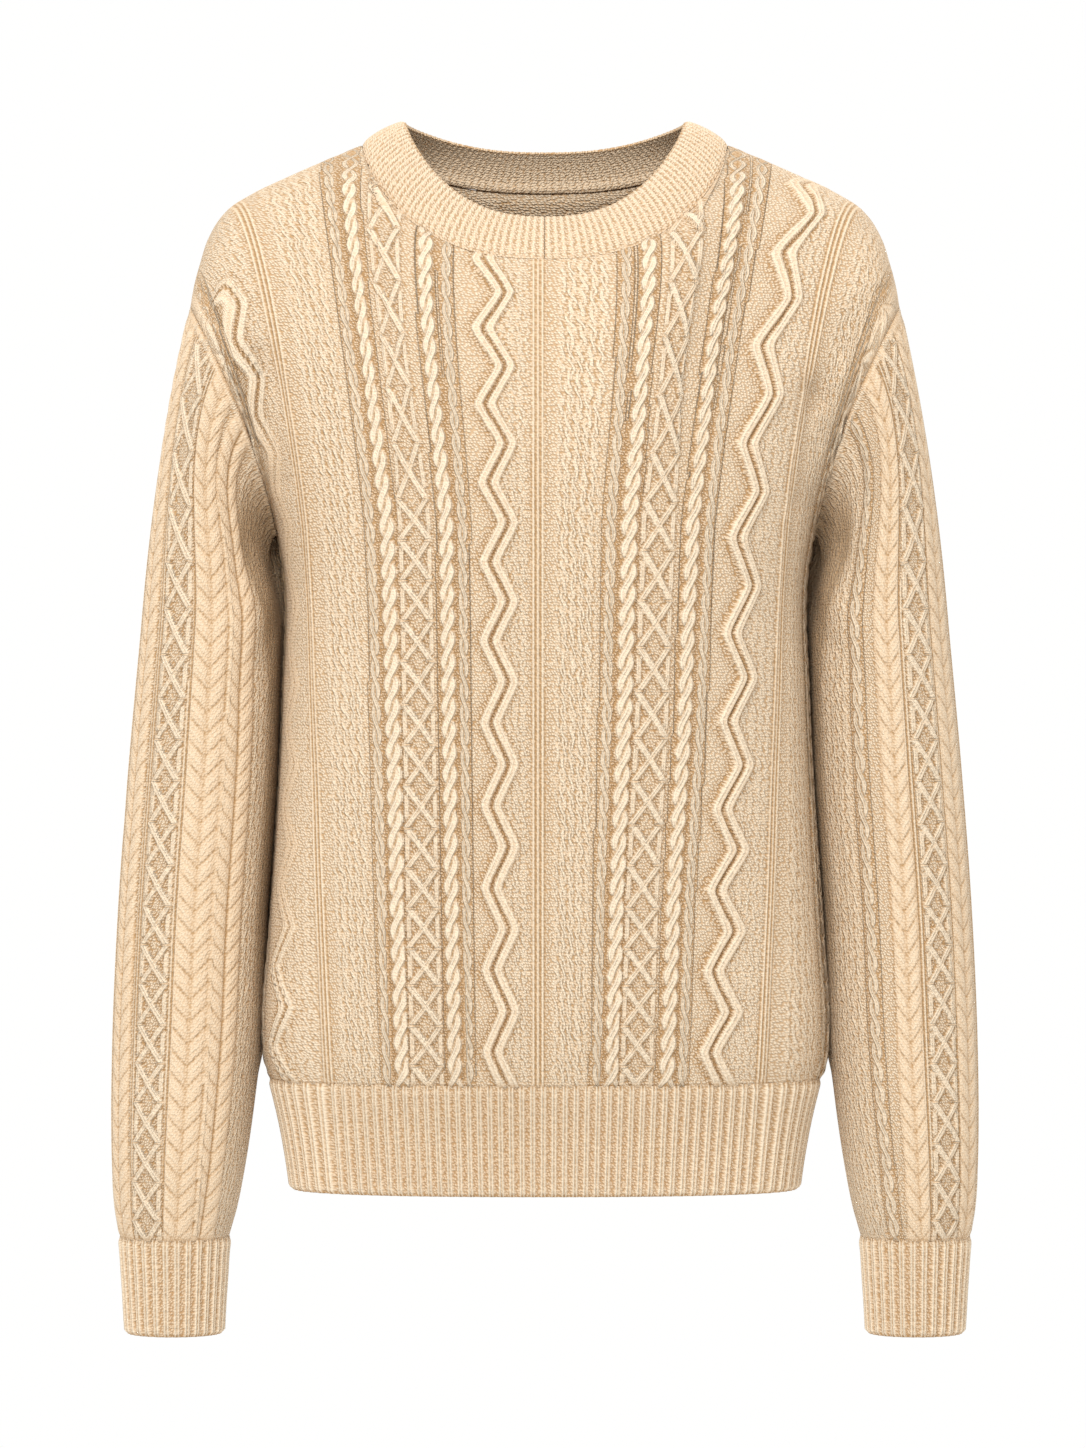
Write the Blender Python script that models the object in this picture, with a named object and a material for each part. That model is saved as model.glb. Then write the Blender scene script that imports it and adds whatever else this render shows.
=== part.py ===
"""Cable knit sweater: a crew neck, drop shoulder pullover that keeps the hollow form of its wearer.

+Z is up and the front faces -Y. The origin lies between the two points where the shoulder seams
meet the neckband. Tables and sizes are in millimetres, and the meshes are made in metres.

Every piece is a closed wall. Its outer points follow threads that run along the knitted cables, so
the cables stand out from the wall, and its inner points make a plain grid.
"""
import bpy
import numpy as np

MM = 0.001

WALL = 2.2             # cloth thickness below the relief
HALF_SEAM = 0.17       # each piece ends this far from the seam line
HALF_ARMHOLE = 0.24    # and this far at the armhole, where the wall twists
UNDERARM_ROOM = 0.4    # the sleeve's corner stands this much further out at the underarm
SMALL = 1e-4           # step for slopes, in the surfaces' own units

# Heights
UNDERARM = -240.6
RIB_SEAM = -581.0
HEM = -649.0
HEM_RISE_FRONT = 3.0
BLEND_RING = -300.0    # the first ring of the sleeve that is a plain oval
CUFF_SEAM = -679.0
CUFF_END = -738.0

# Body sections, one column a level: half width at the side seam, and how far front and back stand out
BODY = {
    "height":     (-655, -630, -609, -583, -569, -553, -495, -423, -346, -262, -240.6),
    "half_width": (156.0, 159.5, 163.3, 169.5, 173.2, 174.6, 171.5, 166.5, 162.5, 162.2, 166.0),
    "front":      (94.0, 95.0, 97.0, 103.0, 106.0, 108.0, 110.0, 112.0, 115.0, 118.0, 118.0),
    "back":       (88.0, 90.0, 93.0, 98.0, 101.0, 102.0, 99.0, 94.0, 93.0, 98.0, 100.0),
}
SQUARENESS = 2.3       # exponent of the body's oval sections

# Half the distance between the two outer boundary lines of the chart, seen from the front
CHART_LINES = {
    "height": (-655, -578, -517, -456, -395, -346, -285, -240.6),
    "half":   (126.0, 131.8, 135.0, 137.8, 139.9, 141.9, 144.0, 146.8),
}
CHART_LEAN = -4.2      # the middle boundary line stands this far to the side
EDGE = 1.4             # a panel is this many chart repeats wide on each side of its middle
NECK_EDGE = 0.6        # and its neckline this many

# Shoulder ridge from the neckband to the tip of the dropped shoulder
RIDGE = {
    "across": (0.6, 0.73, 0.84, 0.925, 1.0, 1.07, 1.135, 1.21, 1.28, 1.4),
    "x":      (113.0, 139.5, 162.0, 180.0, 194.5, 203.3, 209.6, 214.0, 217.0, 220.0),
    "z":      (-1.0, -12.0, -22.0, -30.5, -39.5, -49.0, -60.7, -74.5, -85.5, -102.0),
}

NECK = {               # the neckband's seam and its free edge, front (-1) and back (+1)
    "half_width": 113.0, "deep": {-1: 85.0, 1: 66.0}, "drop": {-1: 77.0, 1: 25.0},
    "bend": {-1: 1.62, 1: 2.6}, "side_height": -1.0,
}
NECK_TOP = {
    "half_width": 86.5, "deep": {-1: 68.0, 1: 57.0}, "drop": {-1: 63.5, 1: 13.5},
    "bend": {-1: 1.95, 1: 3.0}, "side_height": 13.5,
}
NECK_BULGE = 2.5
NECK_SQUARENESS = 2.5  # exponent of the neck opening's oval, seen from above

# Sleeve rings, one column a level
SLEEVE = {
    "height": (-745, -738, -705, -679, -660, -635, -606, -560, -480, -390, -300),
    "outer":  (258.0, 258.6, 260.8, 263.0, 266.0, 267.6, 268.2, 267.8, 264.6, 258.2, 250.0),
    "inner":  (200.4, 200.2, 198.4, 196.2, 191.2, 186.4, 182.0, 177.0, 173.2, 167.4, 165.0),
    "deep":   (31.0, 31.5, 34.0, 37.5, 42.5, 46.5, 48.5, 50.0, 51.5, 53.0, 55.0),
    "middle": (-13.0, -12.5, -10.0, -8.0, -6.5, -5.0, -3.5, -1.0, 2.5, 4.0, 3.0),
}

# Slopes of the upper body, in millimetres for the whole rise. A slope with three values has one for
# the neck's corner, one for the outer boundary line and one for the drop tip.
UPPER = {
    "splay": 25.0,                       # sideways from the underarm level, at the neck's corner
    "underarm": (26.0, 190.0, 183.0),    # sideways, outwards and up at the side seam
    "underarm_from": 0.9,                # the side seam's slope fades in from here
    "drift": (-34.0, 60.0, 0.0),         # along the shoulder ridge
    "roll": {-1: (160.0, 215.0, 262.0), 1: (260.0, 215.0, 262.0)},    # over the shoulder ridge
    "middle": {-1: (75.0, 148.0), 1: (75.0, 200.0)},                  # inwards and up at the neckline
}
RIDGE_STEP = 0.01      # step for the shoulder ridge's direction

# Slopes of the sleeve below and at the armhole, as shares of its rise there
SLEEVE_LEAN = {"low": 0.08, "underarm": (0.75, 0.7), "tip": (0.23, 1.0)}

# Soft drag folds, as dents from one point to another, seen from the front
FOLDS = (
    {"x": (-171, -161), "z": (-140, -216), "face": -1, "dent": 3.5, "width": 8.0},
    {"x": (194, 162), "z": (-108, -168), "face": -1, "dent": 4.5, "width": 9.0},
    {"x": (162, 156), "z": (-168, -222), "face": -1, "dent": 4.0, "width": 9.0},
    {"x": (-186, -158), "z": (-115, -200), "face": 1, "dent": 4.0, "width": 9.0},
    {"x": (186, 160), "z": (-110, -205), "face": 1, "dent": 4.0, "width": 9.0},
)

# Rows of the chart, counted from the rib seam up. Motifs are taller where the cloth hangs stretched.
ROWS_UP = (0.0, 235.0, 340.0, 560.0, 760.0)
DIAMOND_COUNT = (0.0, 9.4, 13.2, 19.6, 25.0)
ZIGZAG_COUNT = (0.0, 4.7, 6.8, 11.0, 14.8)
ROPE_COUNT = (0.0, 17.3, 25.0, 41.0, 55.6)

# Heights of the relief above the wall
ROPE_LIFT = 2.7
THIN_LIFT = 1.8
LINE_LIFT = 1.3
DIAMOND_LIFT = 2.4
ZIGZAG_LIFT = 2.4
MOSS_LIFT = 0.6
RIB_LIFT = 1.6
NECK_RIB_LIFT = 1.1
EDGE_LIFT = 0.3        # along the side seams
SIDE_FADE = 0.16       # the relief sinks to that over this share of a repeat
NECK_FADE = 0.6        # and this much of it goes at the upper edge

# One repeat of the chart, as fractions of its width
REPEAT = (
    {"kind": "line", "at": 0.0, "wide": 0.045},
    {"kind": "moss", "at": 0.085, "wide": 0.08},
    {"kind": "moss", "at": 0.19, "wide": 0.08},
    {"kind": "thin", "at": 0.28, "wide": 0.045, "feet": (True, False)},
    {"kind": "rope", "at": 0.35, "wide": 0.065},
    {"kind": "diamond", "at": 0.4625, "wide": 0.125},
    {"kind": "rope", "at": 0.60, "wide": 0.065},
    {"kind": "thin", "at": 0.67, "wide": 0.045, "feet": (False, True)},
    {"kind": "zigzag", "at": 0.83, "wide": 0.058},
    {"kind": "moss", "at": 0.945, "wide": 0.04},
)

# Motifs round a sleeve, in degrees from its underarm seam over the front
SLEEVE_CHARTS = {
    "sleeve_right": (
        {"kind": "moss", "at": 8.0, "wide": 6.0}, {"kind": "moss", "at": 18.0, "wide": 6.0},
        {"kind": "moss", "at": 28.0, "wide": 6.0}, {"kind": "moss", "at": 38.0, "wide": 6.0},
        {"kind": "braid", "at": 60.0, "wide": 23.0}, {"kind": "braid", "at": 86.0, "wide": 22.0},
        {"kind": "line", "at": 101.5, "wide": 4.0}, {"kind": "diamond", "at": 116.0, "wide": 20.0},
        {"kind": "line", "at": 131.0, "wide": 4.0}, {"kind": "braid", "at": 150.0, "wide": 25.0},
    ),
    "sleeve_left": (
        {"kind": "moss", "at": 8.0, "wide": 6.0}, {"kind": "moss", "at": 19.0, "wide": 6.0},
        {"kind": "moss", "at": 30.0, "wide": 6.0}, {"kind": "moss", "at": 41.0, "wide": 6.0},
        {"kind": "moss", "at": 52.0, "wide": 6.0}, {"kind": "thin", "at": 66.0, "wide": 9.0},
        {"kind": "moss", "at": 77.0, "wide": 6.0}, {"kind": "braid", "at": 92.5, "wide": 17.0},
        {"kind": "line", "at": 105.0, "wide": 4.0}, {"kind": "diamond", "at": 119.5, "wide": 19.0},
        {"kind": "braid", "at": 146.0, "wide": 23.0},
    ),
}
SLEEVE_MIDDLE = {"kind": "line", "at": 180.0, "wide": 6.0}

# How far up a panel or a sleeve its plain threads have points (0 to 1 below, 1 to 2 above)
PANEL_ROWS = (0.0, 0.15, 0.36, 0.58, 0.8, 1.02, 1.22, 1.4, 1.56, 1.7, 1.82, 1.92, 2.0)
SLEEVE_ROWS = (0.0, 0.12, 0.28, 0.48, 0.7, 0.92, 1.14, 1.34, 1.54, 1.72, 1.88, 2.0)
INNER_PANEL_ROWS = (0.0, 0.25, 0.5, 0.75, 1.0, 1.2, 1.4, 1.55, 1.7, 1.83, 1.94)
INNER_SLEEVE_ROWS = (0.0, 0.15, 0.35, 0.6, 0.8, 1.0, 1.2, 1.4, 1.6, 1.78, 1.92)

HEM_RIBS = 56          # ribs across one panel's hem
CUFF_RIBS = 30
NECK_RIBS = 140
RIB_ROWS = (0.0, 0.5, 1.0)
INNER_ACROSS = 21
INNER_NECK = 56
INNER_AROUND = 18
LONGEST_EDGE = 13.0    # longest step of the neckline's edge

FINISHES = {
    "cable_knit": {"color": (0.86, 0.73, 0.55, 1.0), "roughness": 0.95},
    "rib_knit": {"color": (0.84, 0.70, 0.51, 1.0), "roughness": 0.95},
}


def clear_scene():
    for item in list(bpy.data.objects):
        bpy.data.objects.remove(item, do_unlink=True)


def finish(name):
    """The Principled material of a slot, made once."""
    if name in bpy.data.materials:
        return bpy.data.materials[name]
    material = bpy.data.materials.new(name)
    material.use_nodes = True
    shader = material.node_tree.nodes["Principled BSDF"]
    shader.inputs["Base Color"].default_value = FINISHES[name]["color"]
    shader.inputs["Roughness"].default_value = FINISHES[name]["roughness"]
    shader.inputs["Metallic"].default_value = 0.0
    return material


def smooth(table, key, name, at):
    """A smooth curve through one column of a table, by cubic pieces."""
    knots = np.asarray(table[key], dtype=float)
    values = np.asarray(table[name], dtype=float)
    slopes = np.gradient(values, knots)
    at = np.clip(at, knots[0], knots[-1])
    cell = np.clip(np.searchsorted(knots, at) - 1, 0, len(knots) - 2)
    width = knots[cell + 1] - knots[cell]
    t = (at - knots[cell]) / width
    start = values[cell] * (1 + 2 * t) * (1 - t) ** 2 + slopes[cell] * width * t * (1 - t) ** 2
    end = values[cell + 1] * t * t * (3 - 2 * t) + slopes[cell + 1] * width * t * t * (t - 1)
    return start + end


def unit(vectors):
    return vectors / np.maximum(np.linalg.norm(vectors, axis=-1, keepdims=True), 1e-12)


def level(vectors):
    """The directions turned level."""
    return unit(vectors * (1.0, 1.0, 0.0))


def stack(x, y, z):
    return np.stack(np.broadcast_arrays(x, y, z), axis=-1).astype(float)


def cubic(start, start_slope, end, end_slope, t):
    """A cubic from start to end with the given slopes."""
    t = t[..., None]
    return (start * (1 + 2 * t) * (1 - t) ** 2 + start_slope * t * (1 - t) ** 2
            + end * t * t * (3 - 2 * t) + end_slope * t * t * (t - 1))


def level_section(across, height, face):
    """A point of the body's oval section at a height, face -1 for the front and +1 for the back.

    Up to one repeat from the middle the chart is even as seen from the front. Beyond that it goes on
    round the oval to the side seam.
    """
    half = smooth(BODY, "height", "half_width", height)
    deep = smooth(BODY, "height", "front" if face < 0 else "back", height)
    line = smooth(CHART_LINES, "height", "half", height)
    inside = np.clip(across, -1.0, 1.0)
    x_inside = line * inside + CHART_LEAN * (1 - inside ** 2)
    y_inside = deep * (1 - np.abs(x_inside / half) ** SQUARENESS) ** (1 / SQUARENESS)
    beyond = np.clip((np.abs(across) - 1.0) / (EDGE - 1.0), 0.0, 1.0)
    turn = np.arccos((line / half) ** (SQUARENESS / 2)) * (1 - beyond) ** (SQUARENESS / 2)
    x_beyond = np.sign(across) * half * np.cos(turn) ** (2 / SQUARENESS)
    y_beyond = deep * np.sin(turn) ** (2 / SQUARENESS)
    outside = np.abs(across) > 1.0
    x = np.where(outside, x_beyond, x_inside)
    y = np.where(outside, y_beyond, y_inside)
    return stack(x, face * y, height)


def neck_ring(sizes, x, face):
    """A point of the neck opening above x: an oval from above, which drops towards its middle."""
    ratio = np.clip(np.abs(x) / sizes["half_width"], 0.0, 1.0)
    inward = (1 - ratio ** NECK_SQUARENESS) ** (1 / NECK_SQUARENESS)
    y = face * sizes["deep"][face] * inward
    z = sizes["side_height"] - sizes["drop"][face] * inward ** sizes["bend"][face]
    return stack(x, y, z)


def top_edge(across, face):
    """The panel's upper edge: the neckline, then the shoulder ridge out to the drop tip."""
    ratio = np.clip(across / NECK_EDGE, -1.0, 1.0)
    x_neck = NECK["half_width"] * ratio + CHART_LEAN * (1 - ratio ** 2)
    neck = neck_ring(NECK, x_neck, face)
    reach = np.clip(np.abs(across), NECK_EDGE, EDGE)
    ridge = stack(np.sign(across) * smooth(RIDGE, "across", "x", reach), 0.0,
                  smooth(RIDGE, "across", "z", reach))
    return np.where((np.abs(across) > NECK_EDGE)[..., None], ridge, neck)


def upper_slopes(across, face, low, high):
    """The slopes of the upper body at its underarm level and at its upper edge."""
    reach = np.abs(across)
    side = np.sign(across)
    length = np.linalg.norm(high - low, axis=-1)
    upright = stack(side * UPPER["splay"] * np.clip(reach, 0.0, NECK_EDGE) / NECK_EDGE, 0.0, length)
    sideways, outwards, rise = UPPER["underarm"]
    underarm = stack(side * sideways, face * outwards, rise)
    fade_from = UPPER["underarm_from"]
    part = (np.clip((reach - fade_from) / (EDGE - fade_from), 0.0, 1.0) ** 2)[..., None]
    start = upright * (1 - part) + underarm * part
    far = np.clip(reach + RIDGE_STEP, NECK_EDGE + RIDGE_STEP, EDGE)
    near = far - RIDGE_STEP
    ridge = stack(side * (smooth(RIDGE, "across", "x", far) - smooth(RIDGE, "across", "x", near)), 0.0,
                  smooth(RIDGE, "across", "z", far) - smooth(RIDGE, "across", "z", near))
    knots = (NECK_EDGE, 1.0, EDGE)
    drift = np.interp(reach, knots, UPPER["drift"])[..., None]
    roll = np.interp(reach, knots, UPPER["roll"][face])
    over = unit(ridge) * drift + stack(0.0, -face * roll, 0.0)
    inwards, upwards = UPPER["middle"][face]
    middle = stack(0.0 * reach, -face * inwards, upwards)
    share = (np.clip(reach / NECK_EDGE, 0.0, 1.0) ** 2)[..., None]
    return start, middle * (1 - share) + over * share


def folded(points, face):
    """Presses the drag folds into the body, as soft dents towards its middle."""
    moved = points.copy()
    for fold in FOLDS:
        if fold["face"] != face:
            continue
        start = np.array((fold["x"][0], fold["z"][0]), dtype=float)
        run = np.array((fold["x"][1], fold["z"][1]), dtype=float) - start
        flat = points[..., (0, 2)] - start
        along = np.clip((flat @ run) / (run @ run), 0.0, 1.0)
        away = np.linalg.norm(flat - along[..., None] * run, axis=-1)
        moved[..., 1] -= face * fold["dent"] * np.exp(-(away / fold["width"]) ** 2)
    return moved


def panel_surface(across, up, face):
    """A body panel. up runs 0 to 1 from the rib seam to the underarm and 1 to 2 to the upper edge."""
    low_height = RIB_SEAM + (UNDERARM - RIB_SEAM) * np.clip(up, 0.0, 1.0)
    lower = level_section(across, low_height, face)
    start = level_section(across, np.full_like(across, UNDERARM), face)
    end = top_edge(across, face)
    start_slope, end_slope = upper_slopes(across, face, start, end)
    upper = cubic(start, start_slope, end, end_slope, np.clip(up - 1.0, 0.0, 1.0))
    return folded(np.where((up > 1.0)[..., None], upper, lower), face)


def rib_surface(across, up, face):
    """The hem rib below a panel. up runs 0 to 1 from the hem to the rib seam."""
    section = level_section(across, RIB_SEAM + 0.0 * across, face)
    front_depth = smooth(BODY, "height", "front", RIB_SEAM)
    rise = HEM_RISE_FRONT * np.where(face < 0, (section[..., 1] / front_depth) ** 2, 0.0)
    height = HEM + rise + (RIB_SEAM - HEM - rise) * up
    return level_section(across, height, face)


def sleeve_ring(around, height, side):
    """A point of the sleeve's oval ring. around is in degrees from the underarm over the front."""
    outer = smooth(SLEEVE, "height", "outer", height)
    inner = smooth(SLEEVE, "height", "inner", height)
    deep = smooth(SLEEVE, "height", "deep", height)
    middle = smooth(SLEEVE, "height", "middle", height)
    angle = np.radians(around)
    x = (outer + inner) / 2 - (outer - inner) / 2 * np.cos(angle)
    return stack(side * x, middle - deep * np.sin(angle), height)


def armhole(around, side):
    """The armhole seam: up the front panel's edge to the drop tip and down the back panel's."""
    front = np.clip(around / 180.0, 0.0, 1.0)
    back = np.clip((360.0 - around) / 180.0, 0.0, 1.0)
    edge = np.full_like(around, side * EDGE)
    over_front = panel_surface(edge, 1.0 + front, -1)
    over_back = panel_surface(edge, 1.0 + back, 1)
    return np.where((around > 180.0)[..., None], over_back, over_front)


def sleeve_surface(around, up, side):
    """A sleeve. up runs 0 to 1 from the cuff seam to the first plain ring and 1 to 2 to the armhole."""
    low_height = CUFF_SEAM + (BLEND_RING - CUFF_SEAM) * np.clip(up, 0.0, 1.0)
    lower = sleeve_ring(around, low_height, side)
    start = sleeve_ring(around, BLEND_RING + 0.0 * around, side)
    end = armhole(around, side)
    length = np.linalg.norm(end - start, axis=-1)
    outward = (1 - np.cos(np.radians(around))) / 2
    start_slope = stack(-side * SLEEVE_LEAN["low"] * length * outward, 0.0, length)
    (lean, rise), (tip_lean, tip_rise) = SLEEVE_LEAN["underarm"], SLEEVE_LEAN["tip"]
    end_slope = stack(-side * length * (lean + (tip_lean - lean) * outward), 0.0,
                      length * (rise + (tip_rise - rise) * outward))
    upper = cubic(start, start_slope, end, end_slope, np.clip(up - 1.0, 0.0, 1.0))
    return np.where((up > 1.0)[..., None], upper, lower)


def cuff_surface(around, up, side):
    return sleeve_ring(around, CUFF_END + (CUFF_SEAM - CUFF_END) * up, side)


def neckband_surface(around, up):
    """The neckband. around is in degrees from the front middle towards +X, up runs from seam to edge."""
    angle = np.radians(around)
    face_front = np.cos(angle) > 0
    seam_x = NECK["half_width"] * np.sin(angle)
    top_x = NECK_TOP["half_width"] * np.sin(angle)
    front = face_front[..., None]
    seam = np.where(front, neck_ring(NECK, seam_x, -1), neck_ring(NECK, seam_x, 1))
    top = np.where(front, neck_ring(NECK_TOP, top_x, -1), neck_ring(NECK_TOP, top_x, 1))
    outward = unit(stack(np.sin(angle), -np.cos(angle), 0.6))
    return seam + (top - seam) * up[..., None] + outward * (NECK_BULGE * 4 * up * (1 - up))[..., None]


def slopes(surface, across, up, limits, step=SMALL):
    """The directions across and up a surface, by differences that stay inside its edges."""
    left, right, bottom, top = limits
    a0 = np.clip(across - step, left, right)
    a1 = np.clip(across + step, left, right)
    u0 = np.clip(up - step, bottom, top)
    u1 = np.clip(up + step, bottom, top)
    return unit(surface(a1, up) - surface(a0, up)), unit(surface(across, u1) - surface(across, u0))


def mitred(shared, own):
    """Lengthens a shared seam normal so that the wall keeps its thickness."""
    fit = np.sum(shared * own, axis=-1, keepdims=True)
    return shared / np.clip(fit, 0.75, 1.0)


def zip_threads(left, right, left_at, right_at, turned=False):
    """Triangles between two threads of points, each with its place along them."""
    faces = []
    i = 0
    j = 0
    while i < len(left) - 1 or j < len(right) - 1:
        step_left = left_at[i + 1] if i < len(left) - 1 else np.inf
        step_right = right_at[j + 1] if j < len(right) - 1 else np.inf
        if step_left <= step_right:
            faces.append((left[i], right[j], left[i + 1]))
            i += 1
        else:
            faces.append((left[i], right[j], right[j + 1]))
            j += 1
    if turned:
        faces = [(a, c, b) for a, b, c in faces]
    return faces


def build_wall(name, outer, inner, place, slot, closed=False, matched=False, turned=False):
    """A closed wall between outer threads with relief and plain inner threads.

    place turns (across, up, lift) arrays into points. Both lists hold one dictionary a thread, ordered
    across the piece, with its places "across" and "up" and its "lift" over the wall. With matched, the
    inner wall's upper edge gets a point under each outer thread, so that it fits its neighbour there.
    """
    points = []
    layers = []
    count = 0
    rim = thread([item["across"][-1] for item in outer], [2.0] * len(outer), -WALL)
    for threads in (outer, inner, [rim] if matched else []):
        layer = []
        for item in threads:
            spots = place(item["across"], item["up"], item["lift"])
            points.append(spots)
            layer.append(list(range(count, count + len(spots))))
            count += len(spots)
        layers.append(layer)
    faces = []
    for layer, threads, back in ((layers[0], outer, False), (layers[1], inner, True)):
        pairs = len(threads) if closed else len(threads) - 1
        for k in range(pairs):
            after = (k + 1) % len(threads)
            faces += zip_threads(layer[k], layer[after], threads[k]["up"], threads[after]["up"], back)

    def ring(layer, threads, end):
        ids = [row[end] for row in layer]
        places = [item["across"][end] for item in threads]
        if closed:
            ids.append(ids[0])
            places.append(places[0] + 360.0)
        return ids, places

    low, low_at = ring(layers[0], outer, 0)
    inner_low, inner_low_at = ring(layers[1], inner, 0)
    faces += zip_threads(low, inner_low, low_at, inner_low_at)
    high, high_at = ring(layers[0], outer, -1)
    inner_high, inner_high_at = ring(layers[1], inner, -1)
    side_ids = [layers[1][0], layers[1][-1]]
    side_up = [list(inner[0]["up"]), list(inner[-1]["up"])]
    if matched:
        edge = list(layers[2][0])
        side_ids = [side_ids[0] + [edge[0]], side_ids[1] + [edge[-1]]]
        side_up = [side_up[0] + [2.0], side_up[1] + [2.0]]
        if closed:
            edge.append(edge[0])
        faces += zip_threads(edge, inner_high, high_at, inner_high_at, True)
        inner_high, inner_high_at = edge, high_at
    faces += zip_threads(high, inner_high, high_at, inner_high_at, True)
    if not closed:
        faces += zip_threads(layers[0][0], side_ids[0], outer[0]["up"], side_up[0], True)
        faces += zip_threads(layers[0][-1], side_ids[1], outer[-1]["up"], side_up[1])
    if turned:
        faces = [(a, c, b) for a, b, c in faces]
    mesh = bpy.data.meshes.new(name)
    mesh.from_pydata((np.concatenate(points) * MM).tolist(), [], faces)
    mesh.update()
    mesh.materials.append(finish(slot))
    mesh.shade_smooth()
    item = bpy.data.objects.new(name, mesh)
    bpy.context.scene.collection.objects.link(item)
    print(name, len(mesh.polygons), "triangles")
    return item


def thread(across, up, lift):
    up = np.asarray(up, dtype=float)
    return {"across": np.broadcast_to(np.asarray(across, dtype=float), up.shape).copy(), "up": up,
            "lift": np.broadcast_to(np.asarray(lift, dtype=float), up.shape).copy()}


def marks(counts, share, distance, up_grid):
    """Where a motif turns along a column: the places of its half repeats, with both ends."""
    total = np.interp(distance[-1], ROWS_UP, counts)
    ticks = np.arange(share, total * 2 - 0.35, 1.0) / 2
    heights = np.interp(ticks, counts, ROWS_UP)
    ups = np.interp(heights, distance, up_grid)
    numbers = np.arange(len(ticks))
    return np.concatenate(((0.0,), ups, (2.0,))), numbers


def column_length(surface, across):
    """How far along the cloth each place of a column is from its lower end."""
    up_grid = np.linspace(0.0, 2.0, 161)
    line = surface(np.full_like(up_grid, across), up_grid)
    steps = np.linalg.norm(np.diff(line, axis=0), axis=-1)
    return np.concatenate(((0.0,), np.cumsum(steps))), up_grid


def swing(numbers, amount):
    """Left, right, left, right, from the first mark on, with the ends in the middle."""
    turns = np.where(numbers % 2 == 0, -amount, amount)
    return np.concatenate(((0.0,), turns, (0.0,)))


def motif_threads(motif, scale, shift, plain_rows, surface):
    """The outer threads of one motif. scale and shift place its chart fractions on the piece."""
    middle = shift + scale * motif["at"]
    half = scale * motif["wide"] / 2
    distance, up_grid = column_length(surface, middle)
    kind = motif["kind"]
    if kind == "moss":
        return [thread(middle, plain_rows, MOSS_LIFT)]
    if kind in ("line", "thin"):
        lift = LINE_LIFT if kind == "line" else THIN_LIFT
        places = ((middle - half, 0.0), (middle, lift), (middle + half, 0.0))
        left_foot, right_foot = motif.get("feet", (True, True))
        kept = (left_foot, True, right_foot)
        return [thread(place, plain_rows, rise) for (place, rise), keep in zip(places, kept) if keep]
    if kind == "rope":
        ups, _ = marks(ROPE_COUNT, 1.0, distance, up_grid)
        ups = np.concatenate((ups[:1], ups[1:-1][::2], ups[-1:]))
        crest = swing(np.arange(len(ups) - 2), half * 0.35)
        return [thread(middle - half, plain_rows, 0.0), thread(middle + crest, ups, ROPE_LIFT),
                thread(middle + half, plain_rows, 0.0)]
    if kind == "braid":
        ups, _ = marks(ROPE_COUNT, 1.0, distance, up_grid)
        ups = np.concatenate((ups[:1], ups[1:-1][::3], ups[-1:]))
        crest = swing(np.arange(len(ups) - 2), half * 0.12)
        return [thread(middle - half, plain_rows, 0.0), thread(middle - half / 2 + crest, ups, ROPE_LIFT),
                thread(middle, plain_rows, 0.4), thread(middle + half / 2 - crest, ups, ROPE_LIFT),
                thread(middle + half, plain_rows, 0.0)]
    if kind == "zigzag":
        ups, numbers = marks(ZIGZAG_COUNT, 0.7, distance, up_grid)
        path = middle + swing(numbers, scale * 0.045)
        lifts = (0.0, ZIGZAG_LIFT, 0.3, ZIGZAG_LIFT, 0.0)
        return [thread(path + place * half, ups, lift)
                for place, lift in zip((-1.9, -1.0, 0.0, 1.0, 1.9), lifts)]
    ups, numbers = marks(DIAMOND_COUNT, 0.5, distance, up_grid)
    corner = np.concatenate(((0.5,), np.where(numbers % 2 == 0, 1.0, 0.12), (0.5,)))
    pit = np.concatenate(((1.0,), np.where(numbers % 2 == 0, 0.3, DIAMOND_LIFT), (1.0,)))
    return [thread(middle - half * 1.2, plain_rows, 0.0),
            thread(middle - half * corner, ups, DIAMOND_LIFT), thread(middle, ups, pit),
            thread(middle + half * corner, ups, DIAMOND_LIFT),
            thread(middle + half * 1.2, plain_rows, 0.0)]


def inner_threads(places, rows):
    return [thread(place, rows, -WALL) for place in places]


def plain_panel_normal(across, up, face):
    """The panel's own outward normal."""
    def surface(a, u):
        return panel_surface(a, u, face)
    over, upward = slopes(surface, across, up, (-EDGE, EDGE, 0.0, 2.0))
    return unit(np.cross(over, upward)) * (-face), over, upward


def plain_sleeve_normal(around, up, side):
    def surface(a, u):
        return sleeve_surface(np.mod(a, 360.0), u, side)
    along = surface(around + 0.05, up) - surface(around - 0.05, up)
    low = np.clip(up - SMALL, 0.0, 2.0)
    high = np.clip(up + SMALL, 0.0, 2.0)
    upward = unit(surface(around, high) - surface(around, low))
    return unit(np.cross(unit(along), upward)) * side, upward


def without(vectors, along):
    """The directions with their part along another direction taken away."""
    return unit(vectors - along * np.sum(vectors * along, axis=-1, keepdims=True))


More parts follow.
